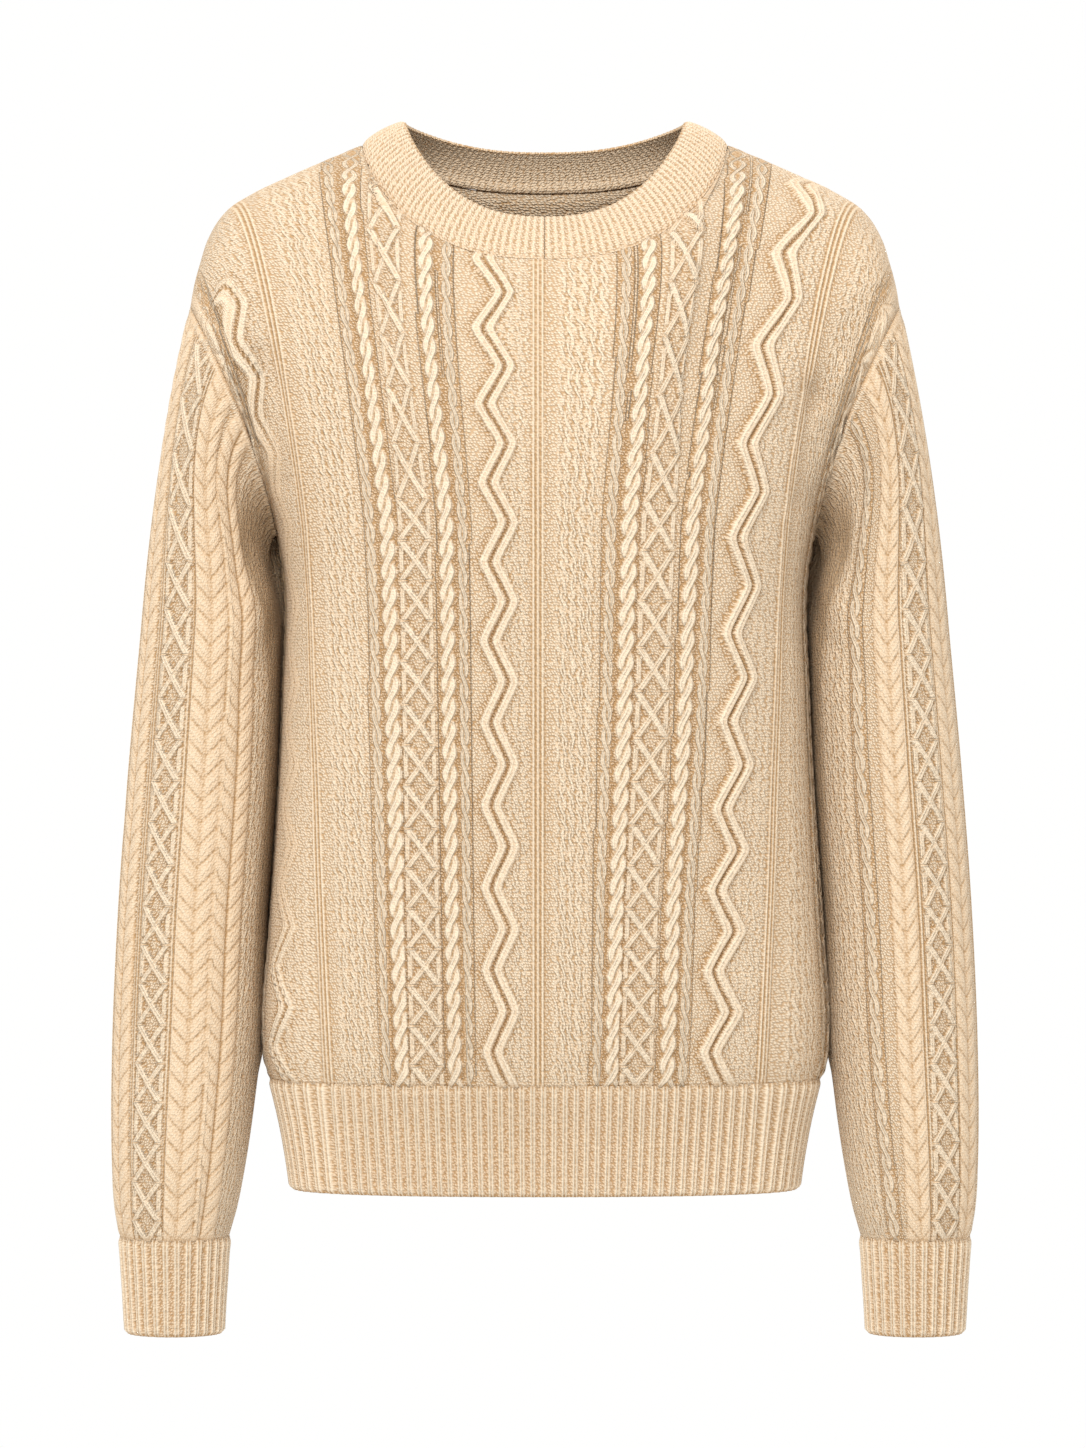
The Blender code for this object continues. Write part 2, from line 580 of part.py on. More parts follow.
def armhole_frame(around, side):
    """The wall's normal along the armhole, and the way across the seam from panel to sleeve."""
    behind = (around > 180.0)[:, None]
    up = 1.0 + np.where(around > 180.0, (360.0 - around) / 180.0, around / 180.0)
    edge = np.full_like(around, side * EDGE)
    front, front_over, _ = plain_panel_normal(edge, up, -1)
    back, back_over, _ = plain_panel_normal(edge, up, 1)
    step = 0.05
    ahead = armhole(np.clip(around + step, 0.0, 360.0), side)
    along = unit(ahead - armhole(np.clip(around - step, 0.0, 360.0), side))
    sleeve, sleeve_up = plain_sleeve_normal(around, np.full_like(around, 2.0), side)
    leaving = without(np.where(behind, back_over, front_over) * side, along)
    over = without(leaving + without(-sleeve_up, along), along)
    normal = np.cross(along, over)
    outward = np.where(behind, back, front) + sleeve
    normal = normal * np.sign(np.sum(normal * outward, axis=-1, keepdims=True))
    ends = np.abs(np.mod(around + 90.0, 180.0) - 90.0) < SMALL
    normal[ends, 1] = 0.0
    over[ends, 1] = 0.0
    return unit(normal), unit(over)


def plain_band_normal(around, up):
    step = 0.05
    along = neckband_surface(around + step, up) - neckband_surface(around - step, up)
    low = np.clip(up - SMALL, 0.0, 1.0)
    high = np.clip(up + SMALL, 0.0, 1.0)
    upward = unit(neckband_surface(around, high) - neckband_surface(around, low))
    return unit(np.cross(unit(along), upward)), upward


def neck_frame(x, face):
    """The wall's normal at a point of the neckline, and the way across the seam from panel to band."""
    places = across_from_neck(x, face)
    step = 1e-3
    far = top_edge(np.clip(places + step, -NECK_EDGE, NECK_EDGE), face)
    near = top_edge(np.clip(places - step, -NECK_EDGE, NECK_EDGE), face)
    along = unit(far - near)
    corner = np.abs(x) > NECK["half_width"] * 0.9999
    along[corner] = np.array((0.0, 1.0, 0.0)) * (-face * np.sign(x[corner]))[:, None]
    top_x = x * NECK_TOP["half_width"] / NECK["half_width"]
    band = unit(neck_ring(NECK_TOP, top_x, face) - neck_ring(NECK, x, face))
    share = ((x / NECK["half_width"]) ** 2)[:, None]
    panel = unit(stack(0.0, -face * 0.45, 0.9) * (1 - share) + stack(-np.sign(x), 0.0, 0.45) * share)
    over = band + panel
    over = unit(over - along * np.sum(over * along, axis=-1, keepdims=True))
    return unit(np.cross(along, over)) * (-face), over


def across_from_neck(x, face):
    """The chart place of a neckline point, the inverse of top_edge."""
    places = np.linspace(-NECK_EDGE, NECK_EDGE, 241)
    return np.interp(x, top_edge(places, face)[:, 0], places)


def eased(distance, width):
    """Rises softly from 0 to 1 over a width."""
    t = np.clip(distance / width, 0.0, 1.0)
    return t * t * (3 - 2 * t)


def panel_placer(face):
    def place(across, up, lift):
        flat = eased(EDGE - np.abs(across), SIDE_FADE) * (1 - NECK_FADE * eased(up - 1.8, 0.2))
        lift = np.where(lift > EDGE_LIFT, EDGE_LIFT + (lift - EDGE_LIFT) * flat, lift)
        points = panel_surface(across, up, face)
        normals, over, upward = plain_panel_normal(across, up, face)
        side = np.sign(across)
        at_side = np.abs(across) > EDGE - SMALL
        at_top = up > 2.0 - SMALL
        at_bottom = up < SMALL
        at_neck = at_top & (np.abs(across) <= NECK_EDGE + SMALL)
        if at_neck.any():
            normals[at_neck], upward[at_neck] = neck_frame(points[at_neck, 0], face)
        over = over * side[:, None]
        around = np.where(face < 0, (up - 1.0) * 180.0, 360.0 - (up - 1.0) * 180.0)
        for hand in (-1, 1):
            chosen = at_side & (up > 1.0) & (side == hand)
            if chosen.any():
                shared, over[chosen] = armhole_frame(around[chosen], hand)
                normals[chosen] = mitred(shared, normals[chosen])
        points[at_neck & (np.abs(across) > NECK_EDGE - SMALL), 1] += face * HALF_SEAM
        normals = np.where(at_bottom[:, None], level(normals), normals)
        gap = np.where(up > 1.0, HALF_ARMHOLE, HALF_SEAM)
        points = points - over * (at_side * gap)[:, None]
        points = points + upward * ((at_bottom * 1.0 - at_top * 1.0) * HALF_SEAM)[:, None]
        return points + normals * lift[:, None]
    return place


def rib_placer(face):
    def surface(a, u):
        return rib_surface(a, u, face)

    def place(across, up, lift):
        over, upward = slopes(surface, across, up, (-EDGE, EDGE, 0.0, 1.0))
        normal = unit(np.cross(over, upward)) * (-face)
        at_side = np.abs(across) > EDGE - SMALL
        at_top = up > 1.0 - SMALL
        points = surface(across, up) - over * (np.sign(across) * at_side * HALF_SEAM)[:, None]
        points[:, 2] -= at_top * HALF_SEAM
        normal = np.where(at_top[:, None], level(normal), normal)
        return points + normal * lift[:, None]
    return place


def sleeve_placer(side):
    def place(around, up, lift):
        lift = np.where(lift > EDGE_LIFT, EDGE_LIFT + (lift - EDGE_LIFT) * eased(2.0 - up, 0.25), lift)
        points = sleeve_surface(around, up, side)
        normals, upward = plain_sleeve_normal(around, up, side)
        at_top = up > 2.0 - SMALL
        at_bottom = up < SMALL
        if at_top.any():
            shared, over = armhole_frame(around[at_top], side)
            normals[at_top] = mitred(shared, normals[at_top])
            underarm = around[at_top] < SMALL
            points[at_top] += over * (HALF_ARMHOLE + underarm * UNDERARM_ROOM)[:, None]
        normals = np.where(at_bottom[:, None], level(normals), normals)
        points = points + upward * (at_bottom * HALF_SEAM)[:, None]
        return points + normals * lift[:, None]
    return place


def cuff_placer(side):
    def place(around, up, lift):
        points = cuff_surface(around, up, side)
        along = cuff_surface(around + 0.05, up, side) - cuff_surface(around - 0.05, up, side)
        normal = unit(stack(along[:, 1], -along[:, 0], 0.0)) * side
        points[:, 2] -= (up > 1.0 - SMALL) * HALF_SEAM
        return points + normal * lift[:, None]
    return place


def seam_line(x, face, places):
    """The neckline as the panel's own edge has it: straight between the panel's threads."""
    knots = top_edge(places, face)
    return stack(x, np.interp(x, knots[:, 0], knots[:, 1]), np.interp(x, knots[:, 0], knots[:, 2]))


def band_placer():
    places = {}
    for face in (-1, 1):
        ends = np.array([item["across"][-1] for item in panel_threads(face)])
        inside = ends[np.abs(ends) < NECK_EDGE]
        places[face] = np.concatenate(((-NECK_EDGE,), inside, (NECK_EDGE,)))

    def place(around, up, lift):
        points = neckband_surface(around, up)
        normal, upward = plain_band_normal(around, up)
        at_seam = up < SMALL
        faces = np.where(np.cos(np.radians(around)) > 0, -1, 1)
        for face in (-1, 1):
            chosen = at_seam & (faces == face)
            if chosen.any():
                normal[chosen], upward[chosen] = neck_frame(points[chosen, 0], face)
                points[chosen] = seam_line(points[chosen, 0], face, places[face])
        points = points + upward * (at_seam * HALF_SEAM)[:, None]
        return points + normal * lift[:, None]
    return place


def armhole_ups(side):
    """Where a panel's side edge has points: plain rows up to the underarm, then the sleeve's threads."""
    around = np.array([item["across"][-1] for item in sleeve_threads(side)])
    above = 1.0 + around[(around > 0.0) & (around < 180.0 - SMALL)] / 180.0
    below = np.array([up for up in PANEL_ROWS if up < 0.97])
    return np.concatenate((below, (1.0,), np.sort(above), (2.0,)))


def between(before, after, share):
    """A plain thread part of the way from one thread to the next."""
    rows = np.asarray(PANEL_ROWS)
    pair = []
    for key in ("across", "lift"):
        low = np.interp(rows, before["up"], before[key])
        high = np.interp(rows, after["up"], after[key])
        pair.append(low + (high - low) * share)
    return thread(pair[0], rows, pair[1])


def edge_shares(start, end, face):
    """Where threads are added between two, so that the upper edge has short steps and its corners."""
    corners = [corner for corner in (-NECK_EDGE, NECK_EDGE) if start + SMALL < corner < end - SMALL]
    stops = [start] + corners + [end]
    places = []
    for low, high in zip(stops[:-1], stops[1:]):
        samples = np.linspace(low, high, 121)
        steps = np.linalg.norm(np.diff(top_edge(samples, face), axis=0), axis=-1)
        run = np.concatenate(((0.0,), np.cumsum(steps)))
        parts = int(run[-1] / LONGEST_EDGE) + 1
        places += list(np.interp(run[-1] * np.arange(1, parts) / parts, run, samples))
        places.append(high)
    return (np.array(places[:-1]) - start) / (end - start)


def fill_edge(threads, face):
    filled = [threads[0]]
    for before, after in zip(threads[:-1], threads[1:]):
        for share in edge_shares(before["across"][-1], after["across"][-1], face):
            filled.append(between(before, after, share))
        filled.append(after)
    return filled


def panel_threads(face):
    def surface(a, u):
        return panel_surface(a, u, face)
    outer = []
    for repeat in (-2, -1, 0, 1):
        for motif in REPEAT:
            reach = motif["wide"] * (2.5 if motif["kind"] == "zigzag" else 1.0) / 2
            if abs(repeat + motif["at"]) + reach < EDGE - 0.03:
                outer += motif_threads(motif, 1.0, repeat, PANEL_ROWS, surface)
    left = thread(-EDGE, armhole_ups(-1), EDGE_LIFT)
    right = thread(EDGE, armhole_ups(1), EDGE_LIFT)
    return fill_edge([left] + outer + [right], face)


def make_panel(name, face):
    inner = inner_threads(np.linspace(-EDGE, EDGE, INNER_ACROSS), INNER_PANEL_ROWS)
    inner[0] = thread(-EDGE, armhole_ups(-1)[:-1], -WALL)
    inner[-1] = thread(EDGE, armhole_ups(1)[:-1], -WALL)
    build_wall(name, panel_threads(face), inner, panel_placer(face), "cable_knit",
               matched=True, turned=face > 0)


def rib_threads(count, start, end, rows, lift, closed):
    """A crest and a valley for each rib."""
    places = np.linspace(start, end, count * 2 + 1)
    if closed:
        places = places[:-1]
    lifts = np.where(np.arange(len(places)) % 2 == 1, lift, 0.0)
    return [thread(place, rows, height) for place, height in zip(places, lifts)]


def make_hem(name, face):
    outer = rib_threads(HEM_RIBS, -EDGE, EDGE, RIB_ROWS, RIB_LIFT, False)
    inner = inner_threads(np.linspace(-EDGE, EDGE, INNER_ACROSS), RIB_ROWS)
    build_wall(name, outer, inner, rib_placer(face), "rib_knit", turned=face > 0)


def sleeve_threads(side):
    def surface(a, u):
        return sleeve_surface(a, u, side)
    chart = SLEEVE_CHARTS["sleeve_left" if side > 0 else "sleeve_right"]
    outer = [thread(0.0, SLEEVE_ROWS, EDGE_LIFT)]
    for motif in chart:
        outer += motif_threads(motif, 1.0, 0.0, SLEEVE_ROWS, surface)
    outer += motif_threads(SLEEVE_MIDDLE, 1.0, 0.0, SLEEVE_ROWS, surface)
    for motif in reversed(chart):
        twin = dict(motif, at=360.0 - motif["at"])
        outer += motif_threads(twin, 1.0, 0.0, SLEEVE_ROWS, surface)
    return outer


def make_sleeve(name, side):
    inner = inner_threads(np.arange(INNER_AROUND) * 360.0 / INNER_AROUND, INNER_SLEEVE_ROWS)
    build_wall(name, sleeve_threads(side), inner, sleeve_placer(side), "cable_knit",
               closed=True, matched=True, turned=side < 0)


def make_cuff(name, side):
    outer = rib_threads(CUFF_RIBS, 0.0, 360.0, RIB_ROWS, RIB_LIFT, True)
    inner = inner_threads(np.arange(INNER_AROUND) * 360.0 / INNER_AROUND, RIB_ROWS)
    build_wall(name, outer, inner, cuff_placer(side), "rib_knit", closed=True, turned=side < 0)


def even_turns(turns):
    """Angles round the neckband that stand the given shares of its length apart."""
    angles = np.linspace(0.0, 360.0, 1441)
    line = neckband_surface(angles, np.full_like(angles, 0.5))
    run = np.concatenate(((0.0,), np.cumsum(np.linalg.norm(np.diff(line, axis=0), axis=-1))))
    return np.interp(np.asarray(turns) / 360.0 * run[-1], run, angles)


def make_neckband():
    outer = rib_threads(NECK_RIBS, 0.0, 360.0, RIB_ROWS, NECK_RIB_LIFT, True)
    for item in outer:
        item["across"] = even_turns(item["across"])
    inner = inner_threads(even_turns(np.arange(INNER_NECK) * 360.0 / INNER_NECK), RIB_ROWS)
    build_wall("neckband", outer, inner, band_placer(), "rib_knit", closed=True)


def main():
    clear_scene()
    make_panel("front_panel", -1)
    make_panel("back_panel", 1)
    make_hem("hem_rib_front", -1)
    make_hem("hem_rib_back", 1)
    for name, side in (("left", 1), ("right", -1)):
        make_sleeve("sleeve_" + name, side)
        make_cuff("cuff_" + name, side)
    make_neckband()


main()
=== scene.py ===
# Cable knit sweater, dressed: each knitted piece is a thin closed wall on the form of its solid.
# The cables, lattices and ribs are worked out over the wall, and single stitches are in the material.
# Lengths are in millimetres until a mesh is made.
import bpy
import numpy as np
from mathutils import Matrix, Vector


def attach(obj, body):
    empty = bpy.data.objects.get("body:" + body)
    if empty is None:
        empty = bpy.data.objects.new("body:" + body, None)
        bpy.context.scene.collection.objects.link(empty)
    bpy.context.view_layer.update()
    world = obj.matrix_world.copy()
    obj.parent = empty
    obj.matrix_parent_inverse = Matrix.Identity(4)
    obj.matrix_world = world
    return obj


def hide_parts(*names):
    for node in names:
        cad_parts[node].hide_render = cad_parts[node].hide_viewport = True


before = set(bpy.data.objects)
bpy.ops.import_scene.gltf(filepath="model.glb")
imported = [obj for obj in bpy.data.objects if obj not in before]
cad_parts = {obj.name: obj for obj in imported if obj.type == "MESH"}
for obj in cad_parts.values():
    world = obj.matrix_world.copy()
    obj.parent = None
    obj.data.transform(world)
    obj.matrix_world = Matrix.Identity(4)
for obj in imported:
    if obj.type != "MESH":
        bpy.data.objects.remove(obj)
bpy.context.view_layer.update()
print("frame loaded:", ", ".join(sorted(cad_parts)))

millimetre = 0.001
wall = 2.2                  # cloth thickness under the relief

# The body: oval sections by height, and the chart's outer lines as seen from the front
bodyForm = {
    "height": (-655, -630, -609, -583, -569, -553, -495, -423, -346, -262, -240.6),
    "halfWidth": (156.0, 159.5, 163.3, 169.5, 173.2, 174.6, 171.5, 166.5, 162.5, 162.2, 166.0),
    "front": (94.0, 95.0, 97.0, 103.0, 106.0, 108.0, 110.0, 112.0, 115.0, 118.0, 118.0),
    "back": (88.0, 90.0, 93.0, 98.0, 101.0, 102.0, 99.0, 94.0, 93.0, 98.0, 100.0),
    "lineHeight": (-655, -578, -517, -456, -395, -346, -285, -240.6),
    "lineHalf": (126.0, 131.8, 135.0, 137.8, 139.9, 141.9, 144.0, 146.8),
    "squareness": 2.3,      # exponent of the ovals
    "lean": -4.2,           # the middle line stands this far to the side
    "edge": 1.4,            # a panel is this many repeats wide on each side
    "neckEdge": 0.6,        # and its neckline this many
    "underarm": -240.6, "ribSeam": -581.0, "hem": -649.0, "hemRise": 0.9,
}

# The shoulder ridge from the neckband to the tip of the dropped shoulder
ridgeForm = {
    "across": (0.6, 0.73, 0.84, 0.925, 1.0, 1.07, 1.135, 1.21, 1.28, 1.4),
    "x": (113.0, 139.5, 162.0, 180.0, 194.5, 203.3, 209.6, 214.0, 217.0, 220.0),
    "z": (-1.0, -12.0, -22.0, -30.5, -39.5, -49.0, -60.7, -74.5, -85.5, -102.0),
}

# The neck: the seam and the free edge of its band, each front (-1) and back (+1)
neckSeam = {"halfWidth": 113.0, "deep": {-1: 85.0, 1: 66.0}, "drop": {-1: 77.0, 1: 25.0},
            "bend": {-1: 1.62, 1: 2.6}, "sideHeight": -1.0}
neckTop = {"halfWidth": 86.5, "deep": {-1: 68.0, 1: 57.0}, "drop": {-1: 63.5, 1: 13.5},
           "bend": {-1: 1.95, 1: 3.0}, "sideHeight": 13.5}
neckForm = {"squareness": 2.5, "bulge": 2.5}

# The sleeves: oval rings by height
sleeveForm = {
    "height": (-745, -738, -705, -679, -660, -635, -606, -560, -480, -390, -300),
    "outer": (258.0, 258.6, 260.8, 263.0, 266.0, 267.6, 268.2, 267.8, 264.6, 258.2, 250.0),
    "inner": (200.4, 200.2, 198.4, 196.2, 191.2, 186.4, 182.0, 177.0, 173.2, 167.4, 165.0),
    "deep": (31.0, 31.5, 34.0, 37.5, 42.5, 46.5, 48.5, 50.0, 51.5, 53.0, 55.0),
    "middle": (-13.0, -12.5, -10.0, -8.0, -6.5, -5.0, -3.5, -1.0, 2.5, 4.0, 3.0),
    "cuffEnd": -738.0, "cuffSeam": -679.0, "blendRing": -300.0, "axis": 220.0,
    # At the underarm and at the drop tip
    "startLean": 0.08, "endLean": (0.75, 0.23), "endRise": (0.7, 1.0),
}

# Creases placed on the front (-1) or back (+1) of the body, seen from the front: from one
# point to another, with the depth of the trough (a ridge is negative) at both ends and its width
creaseColumns = ("on", "fromX", "toX", "fromZ", "toZ", "fromDeep", "toDeep", "wide")
bodyCreases = (
    (-1, -174, -160, -132, -212, 3.5, 6.5, 7.0),
    (-1, -150, -158, -150, -235, -0.6, -1.6, 10.0),
    (-1, 192, 166, -108, -160, 2.5, 5.0, 7.5),
    (-1, 166, 158, -160, -226, 5.5, 5.0, 7.5),
    (-1, 178, 143, -95, -160, -0.8, -1.8, 11.0),
    (-1, -190, -168, -100, -150, 1.0, 2.5, 9.0),
    (-1, -60, -130, -570, -520, 1.2, 0.4, 16.0),
    (-1, 40, 135, -572, -535, 1.4, 0.5, 14.0),
    (-1, -148, -120, -330, -470, 0.4, 1.4, 15.0),
    (-1, 146, 128, -290, -450, 1.6, 0.3, 14.0),
    (1, -186, -158, -115, -200, 3.0, 4.5, 9.0),
    (1, 186, 160, -110, -205, 4.0, 3.5, 9.0),
    (1, -165, -110, -150, -250, -1.5, -0.4, 12.0),
    (1, 168, 105, -140, -262, -1.0, -0.6, 13.0),
    (1, -120, 90, -505, -530, 1.6, 0.8, 18.0),
    (1, -40, 140, -455, -480, 0.5, 1.7, 17.0),
    (1, -30, 20, -60, -180, 0.9, 0.2, 20.0),
)

# Creases round the sleeves, with degrees from the underarm over the front in place of x
sleeveCreases = (
    (-1, 40, 100, -255, -300, 2.6, 0.6, 13.0),
    (-1, 20, 70, -300, -352, 2.0, 0.4, 12.0),
    (-1, 120, 60, -640, -664, 0.5, 1.4, 10.0),
    (-1, 200, 330, -420, -372, 0.6, 2.4, 14.0),
    (-1, 230, 340, -520, -470, 0.4, 1.8, 13.0),
    (1, 35, 105, -250, -305, 2.8, 0.5, 13.0),
    (1, 15, 80, -290, -340, 2.2, 0.6, 11.0),
    (1, 60, 130, -630, -662, 1.5, 0.4, 10.0),
    (1, 210, 335, -400, -360, 0.7, 2.5, 14.0),
    (1, 220, 345, -560, -505, 0.5, 1.7, 14.0),
)


# The cubic from start to end that leaves and arrives with the given slopes
def cubicBetween(start, startSlope, end, endSlope, t):
    return (start * (1 + 2 * t) * (1 - t) ** 2 + startSlope * t * (1 - t) ** 2
            + end * t * t * (3 - 2 * t) + endSlope * t * t * (t - 1))


# A smooth curve through knots: on each stretch the cubic that has the knots' values and slopes
def curveThrough(knots, values, at):
    knots = np.asarray(knots, dtype=float)
    values = np.asarray(values, dtype=float)
    slopes = np.gradient(values, knots)
    at = np.clip(at, knots[0], knots[-1])
    cell = np.clip(np.searchsorted(knots, at) - 1, 0, len(knots) - 2)
    width = knots[cell + 1] - knots[cell]
    return cubicBetween(values[cell], slopes[cell] * width, values[cell + 1], slopes[cell + 1] * width,
                        (at - knots[cell]) / width)


# Some of a form's values at a place along its knots
def valuesAt(form, knots, at, *keys):
    return [curveThrough(form[knots], form[key], at) for key in keys]


def unitLength(vectors):
    return vectors / np.maximum(np.linalg.norm(vectors, axis=-1, keepdims=True), 1e-12)


def point(x, y, z):
    return np.stack(np.broadcast_arrays(x, y, z), axis=-1).astype(float)


# Rises from 0 to 1 while its argument does, level at both ends: 3t2 - 2t3
def eased(t):
    t = np.clip(t, 0.0, 1.0)
    return t * t * (3 - 2 * t)


# 1 between the form's low and high, and eased down to 0 beyond them
def levelBetween(form, height):
    return eased((height - form["low"]) / form["lowOver"]) * eased((form["high"] - height) / form["highOver"])


# A bell that is 1 at 0: exp(-(x / wide)^2)
def bell(x, wide):
    return np.exp(-(x / wide) ** 2)


# The round back of a cord or ridge, (1 - x^2)^power, and nothing beyond x = 1
def rounded(x, power=1.0):
    return np.clip(1 - x ** 2, 0.0, 1.0) ** power


# Running sum from 0 along the first axis
def summed(steps):
    return np.concatenate((np.zeros_like(steps[:1]), np.cumsum(steps, axis=0)))


# Distance come along each column of a grid, or along a line, of points
def climbed(points):
    return summed(np.linalg.norm(np.diff(points, axis=0), axis=-1))


# Body section at a height: x goes evenly with the chart up to one repeat, and on from there by the
# oval's own angle to the side seam; y is the oval's depth, deep * (1 - (x / half)^n)^(1 / n)
def bodySection(across, height, face):
    power = bodyForm["squareness"]
    edge = bodyForm["edge"]
    half, deep = valuesAt(bodyForm, "height", height, "halfWidth", "front" if face < 0 else "back")
    line, = valuesAt(bodyForm, "lineHeight", height, "lineHalf")
    inside = np.clip(across, -1.0, 1.0)
    xInside = line * inside + bodyForm["lean"] * (1 - inside ** 2)
    yInside = deep * (1 - np.abs(xInside / half) ** power) ** (1 / power)
    beyond = np.clip((np.abs(across) - 1.0) / (edge - 1.0), 0.0, 1.0)
    turn = np.arccos((line / half) ** (power / 2)) * (1 - beyond) ** (power / 2)
    xBeyond = np.sign(across) * half * np.cos(turn) ** (2 / power)
    yBeyond = deep * np.sin(turn) ** (2 / power)
    outside = np.abs(across) > 1.0
    return point(np.where(outside, xBeyond, xInside), face * np.where(outside, yBeyond, yInside), height)


# Neck opening: an oval from above whose height falls with a power of its depth
def neckRing(sizes, x, face):
    power = neckForm["squareness"]
    ratio = np.clip(np.abs(x) / sizes["halfWidth"], 0.0, 1.0)
    inward = (1 - ratio ** power) ** (1 / power)
    height = sizes["sideHeight"] - sizes["drop"][face] * inward ** sizes["bend"][face]
    return point(x, face * sizes["deep"][face] * inward, height)


# Upper edge of a panel: the neckline, then the shoulder ridge
def topEdge(across, face):
    neckEdge = bodyForm["neckEdge"]
    ratio = np.clip(across / neckEdge, -1.0, 1.0)
    neck = neckRing(neckSeam, neckSeam["halfWidth"] * ratio + bodyForm["lean"] * (1 - ratio ** 2), face)
    reach = np.clip(np.abs(across), neckEdge, bodyForm["edge"])
    x, z = valuesAt(ridgeForm, "across", reach, "x", "z")
    return np.where((np.abs(across) > neckEdge)[..., None], point(np.sign(across) * x, 0.0, z), neck)


upperForm = {"splay": 25.0, "underarm": (26.0, 190.0, 183.0), "from": 0.9, "drift": (-34.0, 60.0, 0.0),
             "roll": {-1: (160.0, 215.0, 262.0), 1: (260.0, 215.0, 262.0)},
             "middle": {-1: (75.0, 148.0), 1: (75.0, 200.0)}}


# Slopes of the upper body at the underarm level and at its upper edge, blended by how far across
def upperSlopes(across, face, low, high):
    neckEdge = bodyForm["neckEdge"]
    edge = bodyForm["edge"]
    reach = np.abs(across)
    side = np.sign(across)
    length = np.linalg.norm(high - low, axis=-1)
    upright = point(side * upperForm["splay"] * np.clip(reach, 0.0, neckEdge) / neckEdge, 0.0, length)
    sideways, outward, upward = upperForm["underarm"]
    underarm = point(side * sideways, face * outward, upward)
    part = (np.clip((reach - upperForm["from"]) / (edge - upperForm["from"]), 0.0, 1.0) ** 2)[..., None]
    start = upright * (1 - part) + underarm * part
    far = np.clip(reach + 0.01, neckEdge + 0.01, edge)
    (farX, farZ), (nearX, nearZ) = [valuesAt(ridgeForm, "across", at, "x", "z") for at in (far, far - 0.01)]
    ridge = unitLength(point(side * (farX - nearX), 0.0, farZ - nearZ))
    knots = (neckEdge, 1.0, edge)
    over = (ridge * np.interp(reach, knots, upperForm["drift"])[..., None]
            + point(0.0, -face * np.interp(reach, knots, upperForm["roll"][face]), 0.0))
    level, rise = upperForm["middle"][face]
    middle = point(0.0, -face * level + 0.0 * reach, rise)
    share = (np.clip(reach / neckEdge, 0.0, 1.0) ** 2)[..., None]
    return start, middle * (1 - share) + over * share


creaseForm = {"bow": 3.0, "bends": 7.0, "perDegree": 0.8}


# How deep each crease on one face or side presses the cloth in, deep * exp(-(away / wide)^2), where
# away is measured to its line, bowed a little, and deep changes along it
def creaseDepths(creases, on, x, z, perX, bow):
    for crease in creases:
        row = dict(zip(creaseColumns, crease))
        if row["on"] != on:
            continue
        start = np.array((row["fromX"] * perX, row["fromZ"]), dtype=float)
        run = np.array((row["toX"] * perX, row["toZ"]), dtype=float) - start
        flat = np.stack((x * perX, z), axis=-1) - start
        along = np.clip((flat @ run) / (run @ run), 0.0, 1.0)
        away = np.linalg.norm(flat - along[..., None] * run, axis=-1)
        away = away + bow * np.sin(along * creaseForm["bends"] + start[0])
        deep = row["fromDeep"] + (row["toDeep"] - row["fromDeep"]) * along
        yield deep * bell(away, row["wide"])


def creased(points, face):
    moved = points.copy()
    for depth in creaseDepths(bodyCreases, face, points[..., 0], points[..., 2], 1.0, creaseForm["bow"]):
        moved[..., 1] -= face * depth
    return moved


# A body panel: up goes 0 to 1 from the rib seam to the underarm and 1 to 2 to the upper edge
def panelSurface(across, up, face):
    ribSeam = bodyForm["ribSeam"]
    underarm = bodyForm["underarm"]
    lower = bodySection(across, ribSeam + (underarm - ribSeam) * np.clip(up, 0.0, 1.0), face)
    start = bodySection(across, np.full_like(across, underarm), face)
    end = topEdge(across, face)
    startSlope, endSlope = upperSlopes(across, face, start, end)
    upper = cubicBetween(start, startSlope, end, endSlope, np.clip(up - 1.0, 0.0, 1.0)[..., None])
    return creased(np.where((up > 1.0)[..., None], upper, lower), face)


seamLap = 0.8           # ribs reach so far over the cloth above them


# The hem rib goes on down the body's sections, a little higher at the front middle
def hemSurface(across, up, face):
    ribSeam = bodyForm["ribSeam"]
    section = bodySection(across, ribSeam + 0.0 * across, face)
    rise = bodyForm["hemRise"] * np.where(face < 0, (section[..., 1] / 103.0) ** 2, 0.0)
    low = bodyForm["hem"] + rise
    return bodySection(across, low + (ribSeam + seamLap - low) * up, face)


# Sleeve ring: an ellipse whose angle runs from the underarm over the front
def sleeveRing(around, height, side):
    outer, inner, deep, middle = valuesAt(sleeveForm, "height", height, "outer", "inner", "deep", "middle")
    angle = np.radians(around)
    x = (outer + inner) / 2 - (outer - inner) / 2 * np.cos(angle)
    return point(side * x, middle - deep * np.sin(angle), height)


# Where the sleeve's hidden side leans on the body, between two heights: it swells by push in the
# middle of the stretch round the sleeve, more at the armpit and less in the dip above the hem
leanForm = {"push": 9.5, "around": -28.0, "wide": 15.0, "topPush": 8.0, "topHeight": -252.0, "topWide": 22.0,
            "dip": 4.3, "dipHeight": -548.0, "dipWide": 36.0,
            "low": -595.0, "lowOver": 40.0, "high": -230.0, "highOver": 12.0}


def restPush(around, height):
    form = leanForm
    fromUnderarm = np.mod(around + 180.0, 360.0) - 180.0
    push = (form["push"] + form["topPush"] * bell(height - form["topHeight"], form["topWide"])
            - form["dip"] * bell(height - form["dipHeight"], form["dipWide"]))
    return push * levelBetween(form, height) * bell(fromUnderarm - form["around"], form["wide"])


